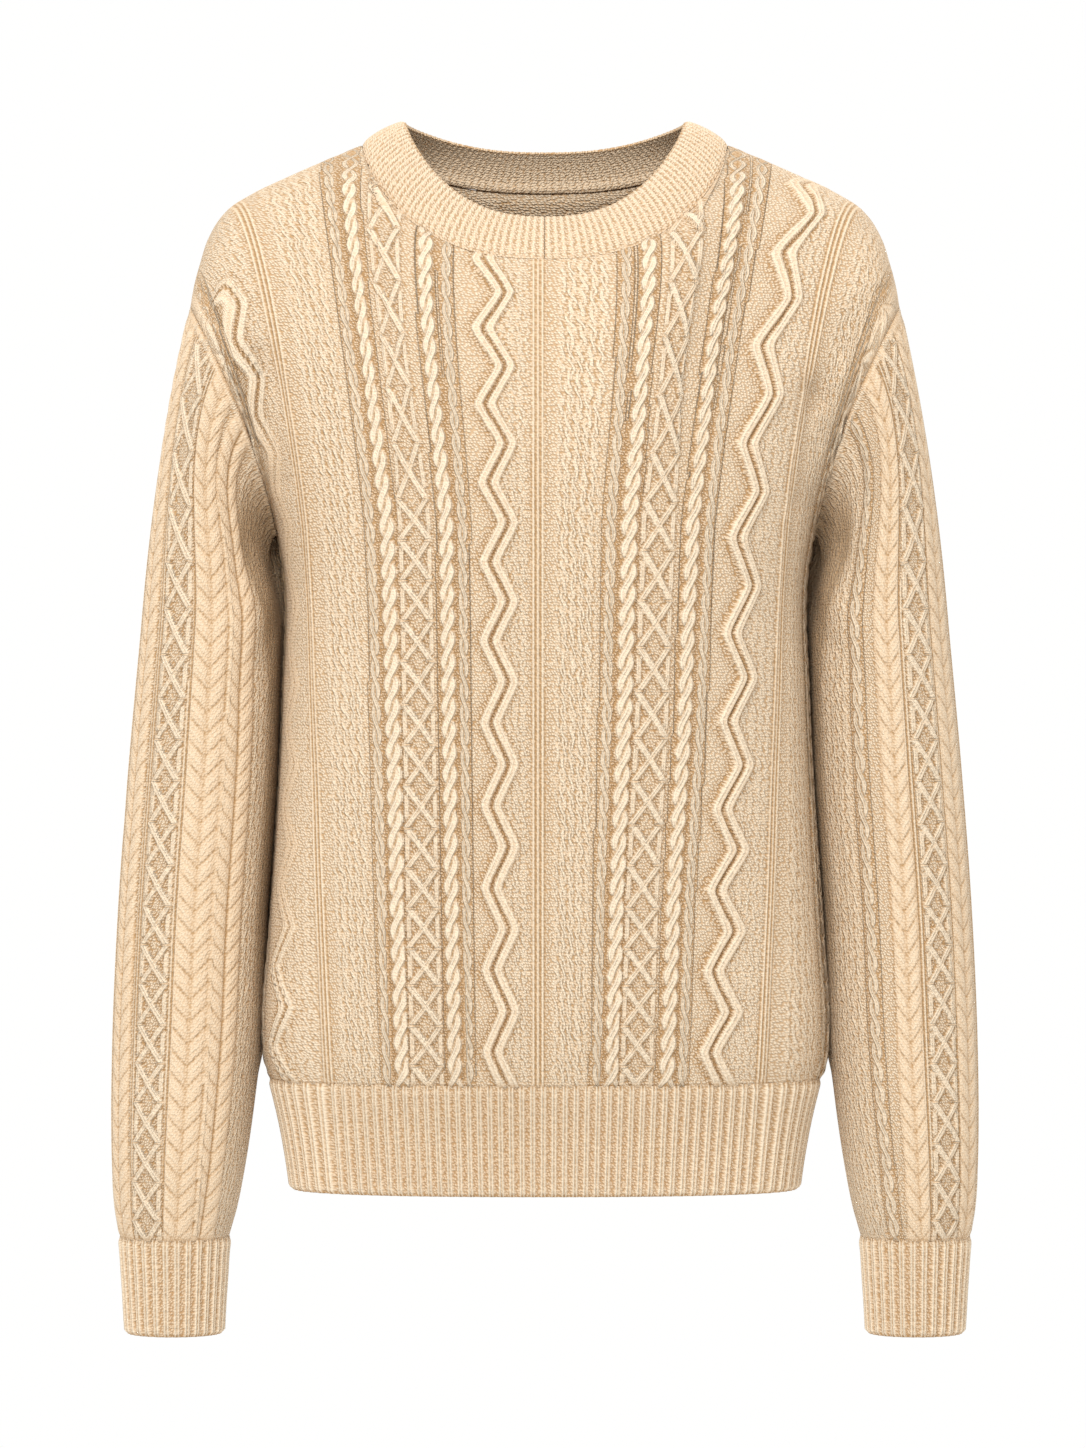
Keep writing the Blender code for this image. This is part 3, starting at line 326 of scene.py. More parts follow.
# The armhole: up the front panel's side edge to the drop tip and down the back panel's
def armholeLine(around, side):
    around = np.mod(around, 360.0)
    edge = np.full_like(around, side * bodyForm["edge"])
    overFront = panelSurface(edge, 1.0 + np.clip(around / 180.0, 0.0, 1.0), -1)
    overBack = panelSurface(edge, 1.0 + np.clip((360.0 - around) / 180.0, 0.0, 1.0), 1)
    return np.where((around > 180.0)[..., None], overBack, overFront)


# A sleeve: up goes 0 to 1 from the cuff seam to the last plain ring, and 1 to 2 by a cubic from
# there to the armhole, leaning in at the underarm and upright at the drop tip
def sleeveSurface(around, up, side):
    cuffSeam = sleeveForm["cuffSeam"]
    blendRing = sleeveForm["blendRing"]
    lower = sleeveRing(around, cuffSeam + (blendRing - cuffSeam) * np.clip(up, 0.0, 1.0), side)
    start = sleeveRing(around, blendRing + 0.0 * around, side)
    end = armholeLine(around, side)
    length = np.linalg.norm(end - start, axis=-1)
    outward = (1 - np.cos(np.radians(around))) / 2
    startSlope = point(-side * sleeveForm["startLean"] * length * outward, 0.0, length)
    lean, rise = [low + (high - low) * outward for low, high in (sleeveForm["endLean"], sleeveForm["endRise"])]
    endSlope = point(-side * length * lean, 0.0, length * rise)
    upper = cubicBetween(start, startSlope, end, endSlope, np.clip(up - 1.0, 0.0, 1.0)[..., None])
    points = np.where((up > 1.0)[..., None], upper, lower)
    inward = unitLength((point(side * sleeveForm["axis"], 0.0, 0.0) - points) * (1.0, 1.0, 0.0))
    fade = eased((2.0 - up) / 0.3)
    for depth in creaseDepths(sleeveCreases, side, around, points[..., 2], creaseForm["perDegree"], 0.0):
        points = points + inward * (depth * fade)[..., None]
    points[..., 0] -= side * restPush(around, points[..., 2])
    return points


def cuffSurface(around, up, side):
    low = sleeveForm["cuffEnd"]
    return sleeveRing(around, low + (sleeveForm["cuffSeam"] + seamLap - low) * up, side)


# The neckband: around goes from the front middle towards +X, straight from seam to free edge with a
# parabola's bulge of 4 * bulge * up * (1 - up)
def neckbandSurface(around, up):
    angle = np.radians(around)
    rings = [[neckRing(sizes, sizes["halfWidth"] * np.sin(angle), face) for face in (-1, 1)]
             for sizes in (neckSeam, neckTop)]
    seam, top = [np.where((np.cos(angle) > 0)[..., None], *ring) for ring in rings]
    outward = unitLength(point(np.sin(angle), -np.cos(angle), 0.6))
    return seam + (top - seam) * up[..., None] + outward * (neckForm["bulge"] * 4 * up * (1 - up))[..., None]


# How far the rows of the chart have come at a distance up the cloth from the rib seam. The two
# repeats hang differently, so each has its own rows.
rowForm = {
    "rope": {"up": (0, 235, 340, 560, 760), "rows": (0.0, 17.3, 25.0, 41.0, 55.6)},
    "latticeLeft": {"up": (0, 14, 133, 258, 357, 426, 492, 760),
                    "rows": (-0.3, 0.25, 5.25, 10.25, 14.25, 16.25, 18.25, 25.5)},
    "latticeRight": {"up": (0, 14, 109, 212, 295, 385, 492, 760),
                     "rows": (-0.35, 0.25, 4.25, 8.25, 11.25, 14.25, 17.25, 24.5)},
    "zigzagLeft": {"up": (0, 22, 271, 509, 760), "rows": (-0.1, 0.35, 5.35, 10.35, 15.5)},
    "zigzagRight": {"up": (0, 21, 169, 276, 392, 515, 574, 760),
                    "rows": (-0.08, 0.35, 3.35, 5.35, 7.35, 9.35, 10.35, 13.4)},
    "latticeSleeve": {"up": (0, 13, 110, 207, 309, 362, 419, 487, 560, 760),
                      "rows": (-0.25, 0.25, 4.25, 8.25, 12.25, 14.25, 16.25, 18.25, 20.4, 26.0)},
}

# The chart: places are fractions of a repeat, widths are half widths in millimetres
chartForm = {
    # Ropes: half width, half a strand's share of it, lift of the whole and of the strands
    "ropeAt": (0.35, 0.60), "ropeSizes": (5.8, 0.56, 0.3, 2.3), "thinAt": (0.28, 0.67),
    "thinSizes": (3.6, 0.49, 1.2, 0.3), "sleeveThinSizes": (4.0, 0.49, 1.2, 0.4), "thinShift": 0.3,
    "latticeAt": 0.4625, "latticeHalf": 9.2, "latticeLift": 2.5, "latticeRow": 25.0, "latticeRim": 2.2,
    "strandHalf": 2.3, "postLift": 1.9, "postHalf": 2.0,
    "zigzagAt": 0.83, "zigzagSwing": 0.046, "zigzagGap": 3.6, "zigzagHalf": 3.1, "zigzagLift": 2.5,
    "zigzagRow": 50.0, "zigzagDip": 0.9, "zigzagTrench": 0.4,
    # Lines of columns: half width, pitch, share of the lift between the columns
    "lineSizes": (4.2, 2.8, 0.35), "sleeveLineSizes": (2.4, 2.4, 0.4), "lineLift": 1.2, "braidLift": 2.0,
    "mossFrom": 0.055, "mossTo": 0.245, "mossOver": 0.03, "mossLift": 0.35, "margin": 2.5, "ropeMargin": 1.4,
    "hollowFrom": 6.0, "hollowTo": 5.0, "hollowOver": 2.0, "hollowMoss": 0.6, "hollowLift": 0.2,
    "repeatWidth": 146.0, "sleeveDegree": 0.85, "fadeAtSide": 0.05, "seamOver": 5.0,
    "tipBend": 30.0, "tipAt": (1.64, 0.14), "edgeFade": 0.85,
}

# Painted shade darkens the colour of the cleft between sleeve and body between these heights, from a place
# across the panels and up to some degrees round the sleeves
cleftShadeForm = {"low": -600.0, "lowOver": 130.0, "high": -195.0, "highOver": 45.0, "panelFrom": 1.29, "panelOver": 0.07,
             "sleeveTo": 34.0, "sleeveOver": 12.0, "armpit": -250.0, "armpitWide": 50.0, "armpitMore": 22.0}

# The relief fades by a share, from a place across and a place up, each over so much more: beside the
# neckband, at the shoulder ridge and over the shoulder's fold
fadeRows = ((0.4, -1.0, 1.0, 1.93, 0.07), (0.85, 0.55, 0.05, 1.76, 0.22), (0.8, 1.04, 0.08, 1.45, 0.4))

# Where lattice and zigzag really stand, as a shift of their place in the repeat, by distance up
driftForm = {
    "left": {"up": (0, 300, 510, 760), "lattice": (0.027, 0.024, 0.03, 0.03),
             "zigzag": (0.0, 0.006, 0.03, 0.04)},
    "right": {"up": (0, 118, 212, 324, 392, 457, 515, 574),
              "lattice": (-0.02, -0.01, 0.016, 0.03, 0.02, -0.002, 0.0, 0.0),
              "zigzag": (-0.024, -0.024, 0.004, 0.016, 0.016, 0.02, 0.045, 0.06)},
}


def rowsAt(name, distance):
    return np.interp(distance, rowForm[name]["up"], rowForm[name]["rows"])


# A cloth starts plain, and motifs are laid on it. Relief is in millimetres. The other marks steer
# the wool's finer form: "turn" counts the crossings of a cord or rope, "side" is the place across a
# rope and "rope" half its strand's width, both in its half widths, "first" and "second" are
# distances to the two nearest strands in their half widths, "strand" counts stitch columns, "cord",
# "twin", "fine", "moss" and "grain" say how much of each there is, and the cleft mark how much
# painted shade darkens the colour in the cleft between sleeve and body.
plainMarks = {"relief": 0.0, "turn": 0.0, "cord": 0.0, "side": 0.0, "rope": 0.0, "first": 9.0, "second": 9.0,
              "twin": 0.0, "strand": 0.0, "fine": 0.0, "moss": 0.0, "grain": 1.0, "cleftShade": 0.0}


def plainCloth(shape):
    return {key: np.full(shape, value) for key, value in plainMarks.items()}


def lay(cloth, mask, **marks):
    for key, value in marks.items():
        cloth[key] = np.where(mask, value, cloth[key])


# Clears what a motif covers; its own marks then come on top
def clear(cloth, mask):
    lay(cloth, mask, cord=0.0, rope=0.0, twin=0.0, fine=0.0, moss=0.0, grain=0.2)


# Rope: two strands wind round each other on the lines side = +-(1 - rope) * sin(pi * turn) and cross
# at whole turns, where the one that leans the given way lies on top. The wool draws their outlines.
def layRope(cloth, s, rows, sizes, lean):
    half, rope, lift, strandLift = sizes
    turn = rows - 0.5
    side = lean * s / half
    swing = (1 - rope) * np.sin(np.pi * turn)
    strands = rounded(np.minimum(np.abs(side - swing), np.abs(side + swing)) / rope, 0.6)
    inside = np.abs(side) < 1.0
    clear(cloth, inside)
    lay(cloth, np.abs(s) < half + chartForm["ropeMargin"], turn=turn, side=side, rope=rope)
    lay(cloth, inside, relief=lift * rounded(side, 0.6) + strandLift * strands,
        grain=1 - 0.8 * np.clip(1.8 * strands, 0.0, 1.0))


# Braid: two cords side by side whose lobes, each the upper half of a circle, fall to the middle line
def layBraid(cloth, s, rows, half):
    x = np.clip(np.abs(s) / half, 0.0, 1.0)
    turn = rows - 0.85 * x
    bulge = rounded(2 * np.mod(turn, 1.0) - 1, 0.5)
    edge = rounded(2 * x - 1.0, 0.4)
    inside = np.abs(s) < half
    lay(cloth, np.abs(s) < half + chartForm["margin"], turn=turn)
    clear(cloth, inside)
    lay(cloth, inside, relief=chartForm["braidLift"] * edge * (0.62 + 0.38 * bulge), cord=0.5 * edge)


# Lattice: one strand falls from left to right over its mirror twin, and posts of two columns stand
# at the corners. The upper strand is a little wider than the lower, which sinks where they cross.
def layLattice(cloth, s, rows, half):
    strandHalf = chartForm["strandHalf"]
    over = half * (1 - 2 * np.mod(rows - 0.25, 1.0))
    steep = 1 / np.sqrt(1 + (2 * half / chartForm["latticeRow"]) ** 2)
    toOver, toUnder = (s - over) * steep, (s + over) * steep
    overHeight = rounded(toOver / (strandHalf * 1.12), 0.6)
    underHeight = rounded(toUnder / strandHalf, 0.6) * (0.8 - 0.4 * bell(over, 0.35 * half))
    post = eased((0.75 - np.abs(over) / half) / 0.25)
    toPost = np.abs(s) - half * 0.97
    postHeight = rounded(toPost / chartForm["postHalf"]) * post * chartForm["postLift"] / chartForm["latticeLift"]
    best = np.maximum(np.maximum(overHeight, underHeight), postHeight)
    reach = half + chartForm["latticeRim"]
    inside = np.abs(s) < reach
    lay(cloth, np.abs(s) < reach + chartForm["margin"],
        first=toOver / (1.08 * strandHalf), second=toUnder / (0.92 * strandHalf))
    lay(cloth, (postHeight >= best) & (post > 0) & inside, first=toPost / strandHalf)
    clear(cloth, inside)
    lay(cloth, inside, relief=chartForm["latticeLift"] * best, twin=np.maximum(0.1, np.clip(best * 1.8, 0.0, 1.0)),
        grain=1 - 0.7 * np.clip(best * 2.0, 0.0, 1.0))


# Zigzag: a softly turned triangle wave, 2 / pi * arcsin(0.97 sin)
def zigzagPath(rows, swing):
    return swing * 2 / np.pi * np.arcsin(0.97 * np.sin(2 * np.pi * (rows - 0.6)))


# Its two ridges stand on both sides of the path with a trench between, and the ground dips on the left
def layZigzag(cloth, s, rows, swing):
    away = (s - zigzagPath(rows, swing)) / np.sqrt(1 + (4 * swing / chartForm["zigzagRow"]) ** 2)
    gap, half = chartForm["zigzagGap"], chartForm["zigzagHalf"]
    reach = gap + half
    ridge = rounded((np.abs(away) - gap) / half, 0.6)
    inside = np.abs(away) < reach
    lay(cloth, np.abs(away) < reach + chartForm["margin"], first=(away - gap) / half, second=(away + gap) / half)
    lay(cloth, (away < -gap) & (away > -reach - 9.0), relief=-chartForm["zigzagDip"] * bell(away + reach + 2.0, 3.2))
    clear(cloth, inside)
    relief = chartForm["zigzagLift"] * ridge - chartForm["zigzagTrench"] * bell(away, 1.0)
    lay(cloth, inside, relief=relief, twin=1.0, grain=1 - 0.75 * ridge)


# Upright columns side by side
def layLine(cloth, s, sizes):
    half, pitch, least = sizes
    swell = least + (1 - least) * (0.5 + 0.5 * np.cos(2 * np.pi * s / pitch))
    inside = np.abs(s) < half
    lay(cloth, np.abs(s) < half + chartForm["margin"], strand=s / pitch)
    clear(cloth, inside)
    lay(cloth, inside, relief=chartForm["lineLift"] * swell, fine=1.0)


# Moss, by how much of it there is
def layMoss(cloth, amount):
    lay(cloth, amount > 0, moss=amount, relief=chartForm["mossLift"] * amount, grain=1 - 0.3 * amount)


weltForm = {"lift": 1.2, "away": 2.8, "wide": 1.5, "soft": 0.85, "tipOver": 0.4, "tipDegrees": 32.0}


# A rounded ridge beside a seam, at a distance from it, that is softer by the given share in places
def layWelt(cloth, distance, soft):
    swell = bell(distance - weltForm["away"], weltForm["wide"]) * (1 - soft)
    cloth["relief"] = cloth["relief"] + weltForm["lift"] * swell


# A grid's values averaged with their neighbours, some times over
def softened(grid, times):
    for _ in range(times):
        padded = np.pad(grid, 1, mode="edge")
        grid = (padded[:-2, 1:-1] + padded[2:, 1:-1] + padded[1:-1, :-2] + padded[1:-1, 2:] + 4 * grid) / 8
    return grid


# Size of one unit across, and distance up each column, of a grid of points
def gridMeasures(points, across):
    perUnit = np.linalg.norm(np.gradient(points, axis=1), axis=-1) / np.abs(np.gradient(across, axis=1))
    return perUnit, climbed(points)


# The chart's own place of a place in a repeat: straight between the ends, the lattice and the zigzag
def chartPlace(fraction, latticeShift, zigzagShift):
    lattice, zigzag = chartForm["latticeAt"], chartForm["zigzagAt"]
    first, second = lattice + latticeShift, zigzag + zigzagShift
    low = fraction / first * lattice
    middle = lattice + (fraction - first) / (second - first) * (zigzag - lattice)
    high = zigzag + (fraction - second) / (1 - second) * (1 - zigzag)
    return np.where(fraction < first, low, np.where(fraction < second, middle, high))


# Relief is low beside a rib's seam and full a few millimetres away from it
def seamFade(distance, reach):
    return 0.3 + 0.7 * eased(distance / reach)


# The whole chart of a body panel, on a grid of places across and up
def chartCloth(across, up, points, face):
    perUnit, distance = gridMeasures(points, across)
    cloth = plainCloth(across.shape)
    reach = np.abs(across)

    # Towards the shoulders a repeat keeps the width that it shows from the front
    seen = np.abs(np.gradient(points[..., 0], axis=1) / np.gradient(across, axis=1))
    part = eased((up - 1.2) / 0.5) * (0.9 if face < 0 else 0.45)
    perUnit = perUnit + (np.clip(seen, 0.33 * perUnit, perUnit) - perUnit) * part

    def bySide(left, right):
        return np.where(across >= 0, right, left)

    def drift(key):
        return bySide(*(np.interp(distance, form["up"], form[key]) for form in driftForm.values()))

    place = chartPlace(across - np.floor(across), drift("lattice"), drift("zigzag"))

    def away(at):
        return (place - at) * perUnit

    latticeRows = bySide(rowsAt("latticeLeft", distance), rowsAt("latticeRight", distance))
    zigzagRows = bySide(rowsAt("zigzagLeft", distance), rowsAt("zigzagRight", distance))
    ropeRows = rowsAt("rope", distance)
    over = chartForm["mossOver"]
    layMoss(cloth, eased((place - chartForm["mossFrom"]) / over) * eased((chartForm["mossTo"] - place) / over))
    s = away(chartForm["zigzagAt"])
    if face < 0:
        start, over = chartForm["tipAt"]
        s = s + chartForm["tipBend"] * eased((up - start) / over) * (across < -1.0)
    swing = chartForm["zigzagSwing"] * perUnit
    lineAway = (across - np.round(across)) * perUnit

    # Softer moss fills the zigzag's other side as far as the columns
    over = chartForm["hollowOver"]
    hollow = (eased((s - zigzagPath(zigzagRows, swing) - chartForm["hollowFrom"]) / over) * (place > 0.5)
              * eased((np.abs(lineAway) - chartForm["hollowTo"]) / over))
    lay(cloth, hollow > 0, moss=chartForm["hollowMoss"] * hollow, relief=chartForm["hollowLift"] * hollow)
    layZigzag(cloth, s, zigzagRows, swing)
    for at in chartForm["thinAt"]:
        layRope(cloth, away(at), ropeRows + chartForm["thinShift"], chartForm["thinSizes"], -1)
    for at in chartForm["ropeAt"]:
        layRope(cloth, away(at), ropeRows, chartForm["ropeSizes"], 1)
    layLattice(cloth, away(chartForm["latticeAt"]), latticeRows, chartForm["latticeHalf"])
    layLine(cloth, lineAway, chartForm["lineSizes"])
    fade = eased((bodyForm["edge"] - reach) / chartForm["fadeAtSide"]) * seamFade(distance, chartForm["seamOver"])
    for share, atAcross, overAcross, atUp, overUp in fadeRows:
        fade = fade * (1 - share * eased((reach - atAcross) / overAcross) * eased((up - atUp) / overUp))
    if face < 0:
        # The front is nearly plain at its -X edge, from above the rib to the armhole
        flat = eased((-1.03 - across) / 0.04) * eased((up - 0.1) / 0.3) * eased((1.4 - up) / 0.25)
        fade = fade * (1 - chartForm["edgeFade"] * flat)
    cloth["relief"] = cloth["relief"] * fade
    for key in ("cord", "rope", "twin", "fine", "moss"):
        cloth[key] = cloth[key] * np.sqrt(fade)
    layWelt(cloth, np.where(up > 1.0, (bodyForm["edge"] - reach) * perUnit, 99.0),
            1.0 - weltForm["soft"] * eased((2.0 - up) / weltForm["tipOver"]))
    # Painted shade: the colour darkens near the side seams between the cleft's heights, where the sleeves lie
    # against the body
    cleftShade = levelBetween(cleftShadeForm, points[..., 2]) * eased((reach - cleftShadeForm["panelFrom"]) / cleftShadeForm["panelOver"])
    return cloth | {"across": across * chartForm["repeatWidth"], "rise": distance, "cleftShade": cleftShade}


# Motifs round a sleeve in degrees from its underarm over the front; the back half mirrors them.
# Braids are counted from groove to groove, and moss fills from the underarm to its last degree.
sleeveChart = {
    -1: {"moss": 46.0, "braids": ((60.0, 11.3), (86.0, 11.0), (150.0, 11.5)), "lines": (101.5, 131.0),
         "lattice": (116.0, 8.6), "thin": ()},
    1: {"moss": 58.0, "braids": ((92.5, 8.0), (146.0, 11.0)), "lines": (105.0, 131.5),
        "lattice": (119.5, 8.2), "thin": (66.0,)},
}


def sleeveCloth(around, up, points, side):
    perUnit, distance = gridMeasures(points, around)
    chart = sleeveChart[side]
    cloth = plainCloth(around.shape)
    half = np.where(around > 180.0, 360.0 - around, around)
    hand = np.where(around > 180.0, -1.0, 1.0) * side
    ropeRows = rowsAt("rope", distance)
    latticeRows = rowsAt("latticeSleeve", distance)
    layMoss(cloth, eased((chart["moss"] - half) / 3.0))
    for at in chart["thin"]:
        layRope(cloth, (half - at) * perUnit, ropeRows + chartForm["thinShift"], chartForm["sleeveThinSizes"], -1)
    for at, width in chart["braids"]:
        layBraid(cloth, (half - at) * perUnit, ropeRows, width)
    for at in chart["lines"] + (180.0,):
        layLine(cloth, (half - at) * perUnit, chartForm["sleeveLineSizes"])
    at, width = chart["lattice"]
    layLattice(cloth, (half - at) * perUnit * hand, latticeRows, width)
    fade = eased((2.0 - up) / 0.06) * seamFade(distance, chartForm["seamOver"])
    for key in ("relief", "cord", "rope", "twin", "fine", "moss"):
        cloth[key] = cloth[key] * fade
    layWelt(cloth, distance[-1] - distance, weltForm["soft"] * bell(half - 180.0, weltForm["tipDegrees"]))
    # Painted shade: the colour darkens on the sleeve's side towards the body, further round at the armpit
    armpit = bell(points[..., 2] - cleftShadeForm["armpit"], cleftShadeForm["armpitWide"])
    reach = cleftShadeForm["sleeveTo"] + cleftShadeForm["armpitMore"] * armpit
    cleftShade = levelBetween(cleftShadeForm, points[..., 2]) * eased((reach - half) / cleftShadeForm["sleeveOver"])
    return cloth | {"across": half * chartForm["sleeveDegree"], "rise": distance, "cleftShade": cleftShade}


ribForm = {"crestTo": 0.78, "crestOver": 0.5, "groove": 0.22, "grooveWide": 0.16, "rimOver": 2.6, "rimSoft": 0.6,
           "seamOver": 4.0, "columnsToRib": 3.1}


# Ribs: rounded crests with sunk ground between, each crest of one or two stitch columns
def ribCloth(turns, columns, lift, points, reach, freeAtTop=False):
    cloth = plainCloth(turns.shape)
    rise = climbed(points)
    fromFree, fromSeam = (rise[-1] - rise, rise) if freeAtTop else (rise, rise[-1] - rise)
    fraction = np.mod(turns, 1.0)
    away = np.abs(fraction - 0.5) * 2                      # 0 on a crest's middle, 1 in the ground
    crest = eased((ribForm["crestTo"] - away) / ribForm["crestOver"])
    double = columns == 2
    rim = 1 - eased(fromFree / ribForm["rimOver"])
    relief = lift * crest * (1.0 - ribForm["groove"] * bell(away, ribForm["grooveWide"]) * double)
    relief = relief * seamFade(fromSeam, ribForm["seamOver"]) * (1 - ribForm["rimSoft"] * rim) - rim
    return cloth | {"relief": relief,
                    "strand": (fraction - 0.5) * ribForm["columnsToRib"] + 0.5 if double else fraction - 0.5,
                    "fine": crest if double else 0.3 * crest,
                    "grain": (0.1 if double else 0.4) + 0.5 * (1 - crest),
                    "across": turns * reach, "rise": rise}


# Outward normals of a grid of points, from its own steps across and up
def gridNormals(points, closed):
    wide = np.concatenate((points[:, -1:], points, points[:, :1]), axis=1) if closed else points
    across = np.gradient(wide, axis=1)
    across = across[:, 1:-1] if closed else across
    return unitLength(np.cross(across, np.gradient(points, axis=0)))


# Triangles between a fine edge and a coarse one that has a point at every so-many-th fine one
def edgeStrip(fine, coarse, every):
    first = coarse[np.arange(len(fine) - 1) // every]
    fans = np.stack((first, fine[1:], fine[:-1]), axis=-1)
    steps = np.stack((coarse[:-1], coarse[1:], fine[every::every]), axis=-1)
    return np.concatenate((fans, steps))


# Quads of a grid of point numbers, across first and then up
def gridQuads(ids):
    return np.stack((ids[:-1, :-1], ids[:-1, 1:], ids[1:, 1:], ids[1:, :-1]), axis=-1).reshape(-1, 4)


# Makes a piece of cloth: its outer points are the surface moved out by the relief, its inner ones
# the surface moved in by the wall, on a coarser grid (every so many up and across), and strips close
# the rims. The sign turns normals and faces outwards.
def clothPiece(name, points, cloth, closed, sign, every, material, inward=wall, ribbedInside=False):
    everyUp, everyAcross = every
    normals = gridNormals(points, closed) * sign
    outer = points + normals * cloth["relief"][..., None]
    inner = (points - normals * np.asarray(inward)[..., None])[::everyUp, ::everyAcross]
    ids = np.arange(outer[..., 0].size).reshape(outer.shape[:2])
    innerIds = ids.size + np.arange(inner[..., 0].size).reshape(inner.shape[:2])
    if closed:
        ids = np.concatenate((ids, ids[:, :1]), axis=1)
        innerIds = np.concatenate((innerIds, innerIds[:, :1]), axis=1)
    triangles = [edgeStrip(ids[0], innerIds[0], everyAcross),
                 edgeStrip(ids[-1], innerIds[-1], everyAcross)[:, ::-1]]
    if not closed:
        triangles.append(edgeStrip(ids[:, 0], innerIds[:, 0], everyUp)[:, ::-1])
        triangles.append(edgeStrip(ids[:, -1], innerIds[:, -1], everyUp))
    quads = np.concatenate((gridQuads(ids), gridQuads(innerIds)[:, ::-1]))
    triangles = np.concatenate(triangles)
    if sign < 0:
        quads, triangles = quads[:, ::-1], triangles[:, ::-1]
    mesh = bpy.data.meshes.new(name)
    corners = np.concatenate((outer.reshape(-1, 3), inner.reshape(-1, 3))) * millimetre
    mesh.from_pydata(corners.tolist(), [], quads.tolist() + triangles.tolist())

    # The rims stay flat, so seams don't darken
    mesh.polygons.foreach_set("use_smooth", np.arange(len(quads) + len(triangles)) < len(quads))
    # How far the relief stands above its smoothed self; the wool turns this into painted light on crests and painted
    # shade in hollows
    cloth["hollow"] = cloth["relief"] - softened(cloth["relief"], 6)
    for key, values in cloth.items():
        inside = values[::everyUp, ::everyAcross].ravel()
        if key in plainMarks and not ribbedInside:
            inside = np.full(inside.shape, plainMarks[key])
        layer = mesh.attributes.new(key, "FLOAT", "POINT")
        layer.data.foreach_set("value", np.concatenate((values.ravel(), inside)).astype(np.float32))
    mesh.materials.append(material)
    piece = bpy.data.objects.new(name, mesh)
    bpy.context.scene.collection.objects.link(piece)
    print(f"{name}: {2 * len(quads) + len(triangles)} triangles")
    return piece


# A node with its settings, and its inputs linked to a socket or set to a value
def node(tree, kind, inputs, **settings):
    item = tree.nodes.new(kind)
    for key, value in settings.items():
        setattr(item, key, value)
    for key, value in inputs.items():
        if isinstance(value, bpy.types.NodeSocket):
            tree.links.new(value, item.inputs[key])
        else:
            item.inputs[key].default_value = value
    return item.outputs


# Wool: the ground, the crests and the sunk hollows each have their colour. The crests are painted light and
# the hollows painted shade, since one wool is lit and shaded by its own relief. Every part of the form adds a
# height in millimetres and a tone from sunk to crest, so raised stitches are painted lighter and gaps darker,
# and the relief's height adds painted light where it stands high. A cord's lobe is the upper half of a circle in
# its turn's fraction, with three columns to a lobe. A strand is a ridge with columns, worked out from the
# distance to its line. Edges say where a form begins and where it is full.
woolForm = {
    "ground": (0.67, 0.495, 0.325, 1.0), "crest": (0.80, 0.66, 0.49, 1.0), "sunk": (0.44, 0.265, 0.125, 1.0),
    # The dark brown is painted shade for the cleft between sleeve and body, and its share says how far the colour
    # goes towards it
    "groundAt": 0.42, "cleftShade": (0.42, 0.28, 0.155, 1.0), "cleftShadeShare": 0.8,
    "heights": {"bulge": 1.0, "cordColumns": -0.3, "strands": 0.8, "strandColumns": -0.35, "pair": 0.95,
                "pairColumns": -0.35, "columns": 0.45, "stroke": 1.1, "grains": 0.58, "yarn": 0.5},
    # Tones: raised stitches and strands are painted lighter and gaps and hollows darker, as light and shade fall on
    # them; cloud alone is the wool's own uneven tone
    "tones": {"hollow": 0.42, "cord": -0.16, "dome": 0.36, "cordColumns": -0.15, "twin": -0.22, "strands": 0.40,
              "strandColumns": -0.18, "columns": 0.34, "roped": -0.30, "pair": 0.66, "pairColumns": -0.18,
              "moss": -0.18, "stroke": 0.70, "grains": 0.56, "cloud": 0.12},
    "strandEdge": (1.0, 0.72), "pitch": 0.9, "pairEdge": (1.0, 0.45), "coverEdge": (1.45, 0.9),
    "strokeSize": (5.0, 18.0), "strokeEdge": (0.52, 0.2), "strokeStarts": 5.0, "strokeShares": (0.65, 0.35),
    "warpSize": (9.0, 10.8), "warpReach": (3.2, 6.0),
    "beadSize": (1.7, 1.75), "beadLean": -0.35, "beadChance": 0.65, "beadEdge": (0.68, 0.12), "leastGrain": 0.35,
    "yarnSize": 700.0, "cloudSize": 9.0,
}
woolSurface = {"Roughness": 0.95, "Specular IOR Level": 0.1, "Sheen Weight": 0.15, "Sheen Roughness": 0.4,
               "Sheen Tint": (1.0, 0.9, 0.75, 1.0)}


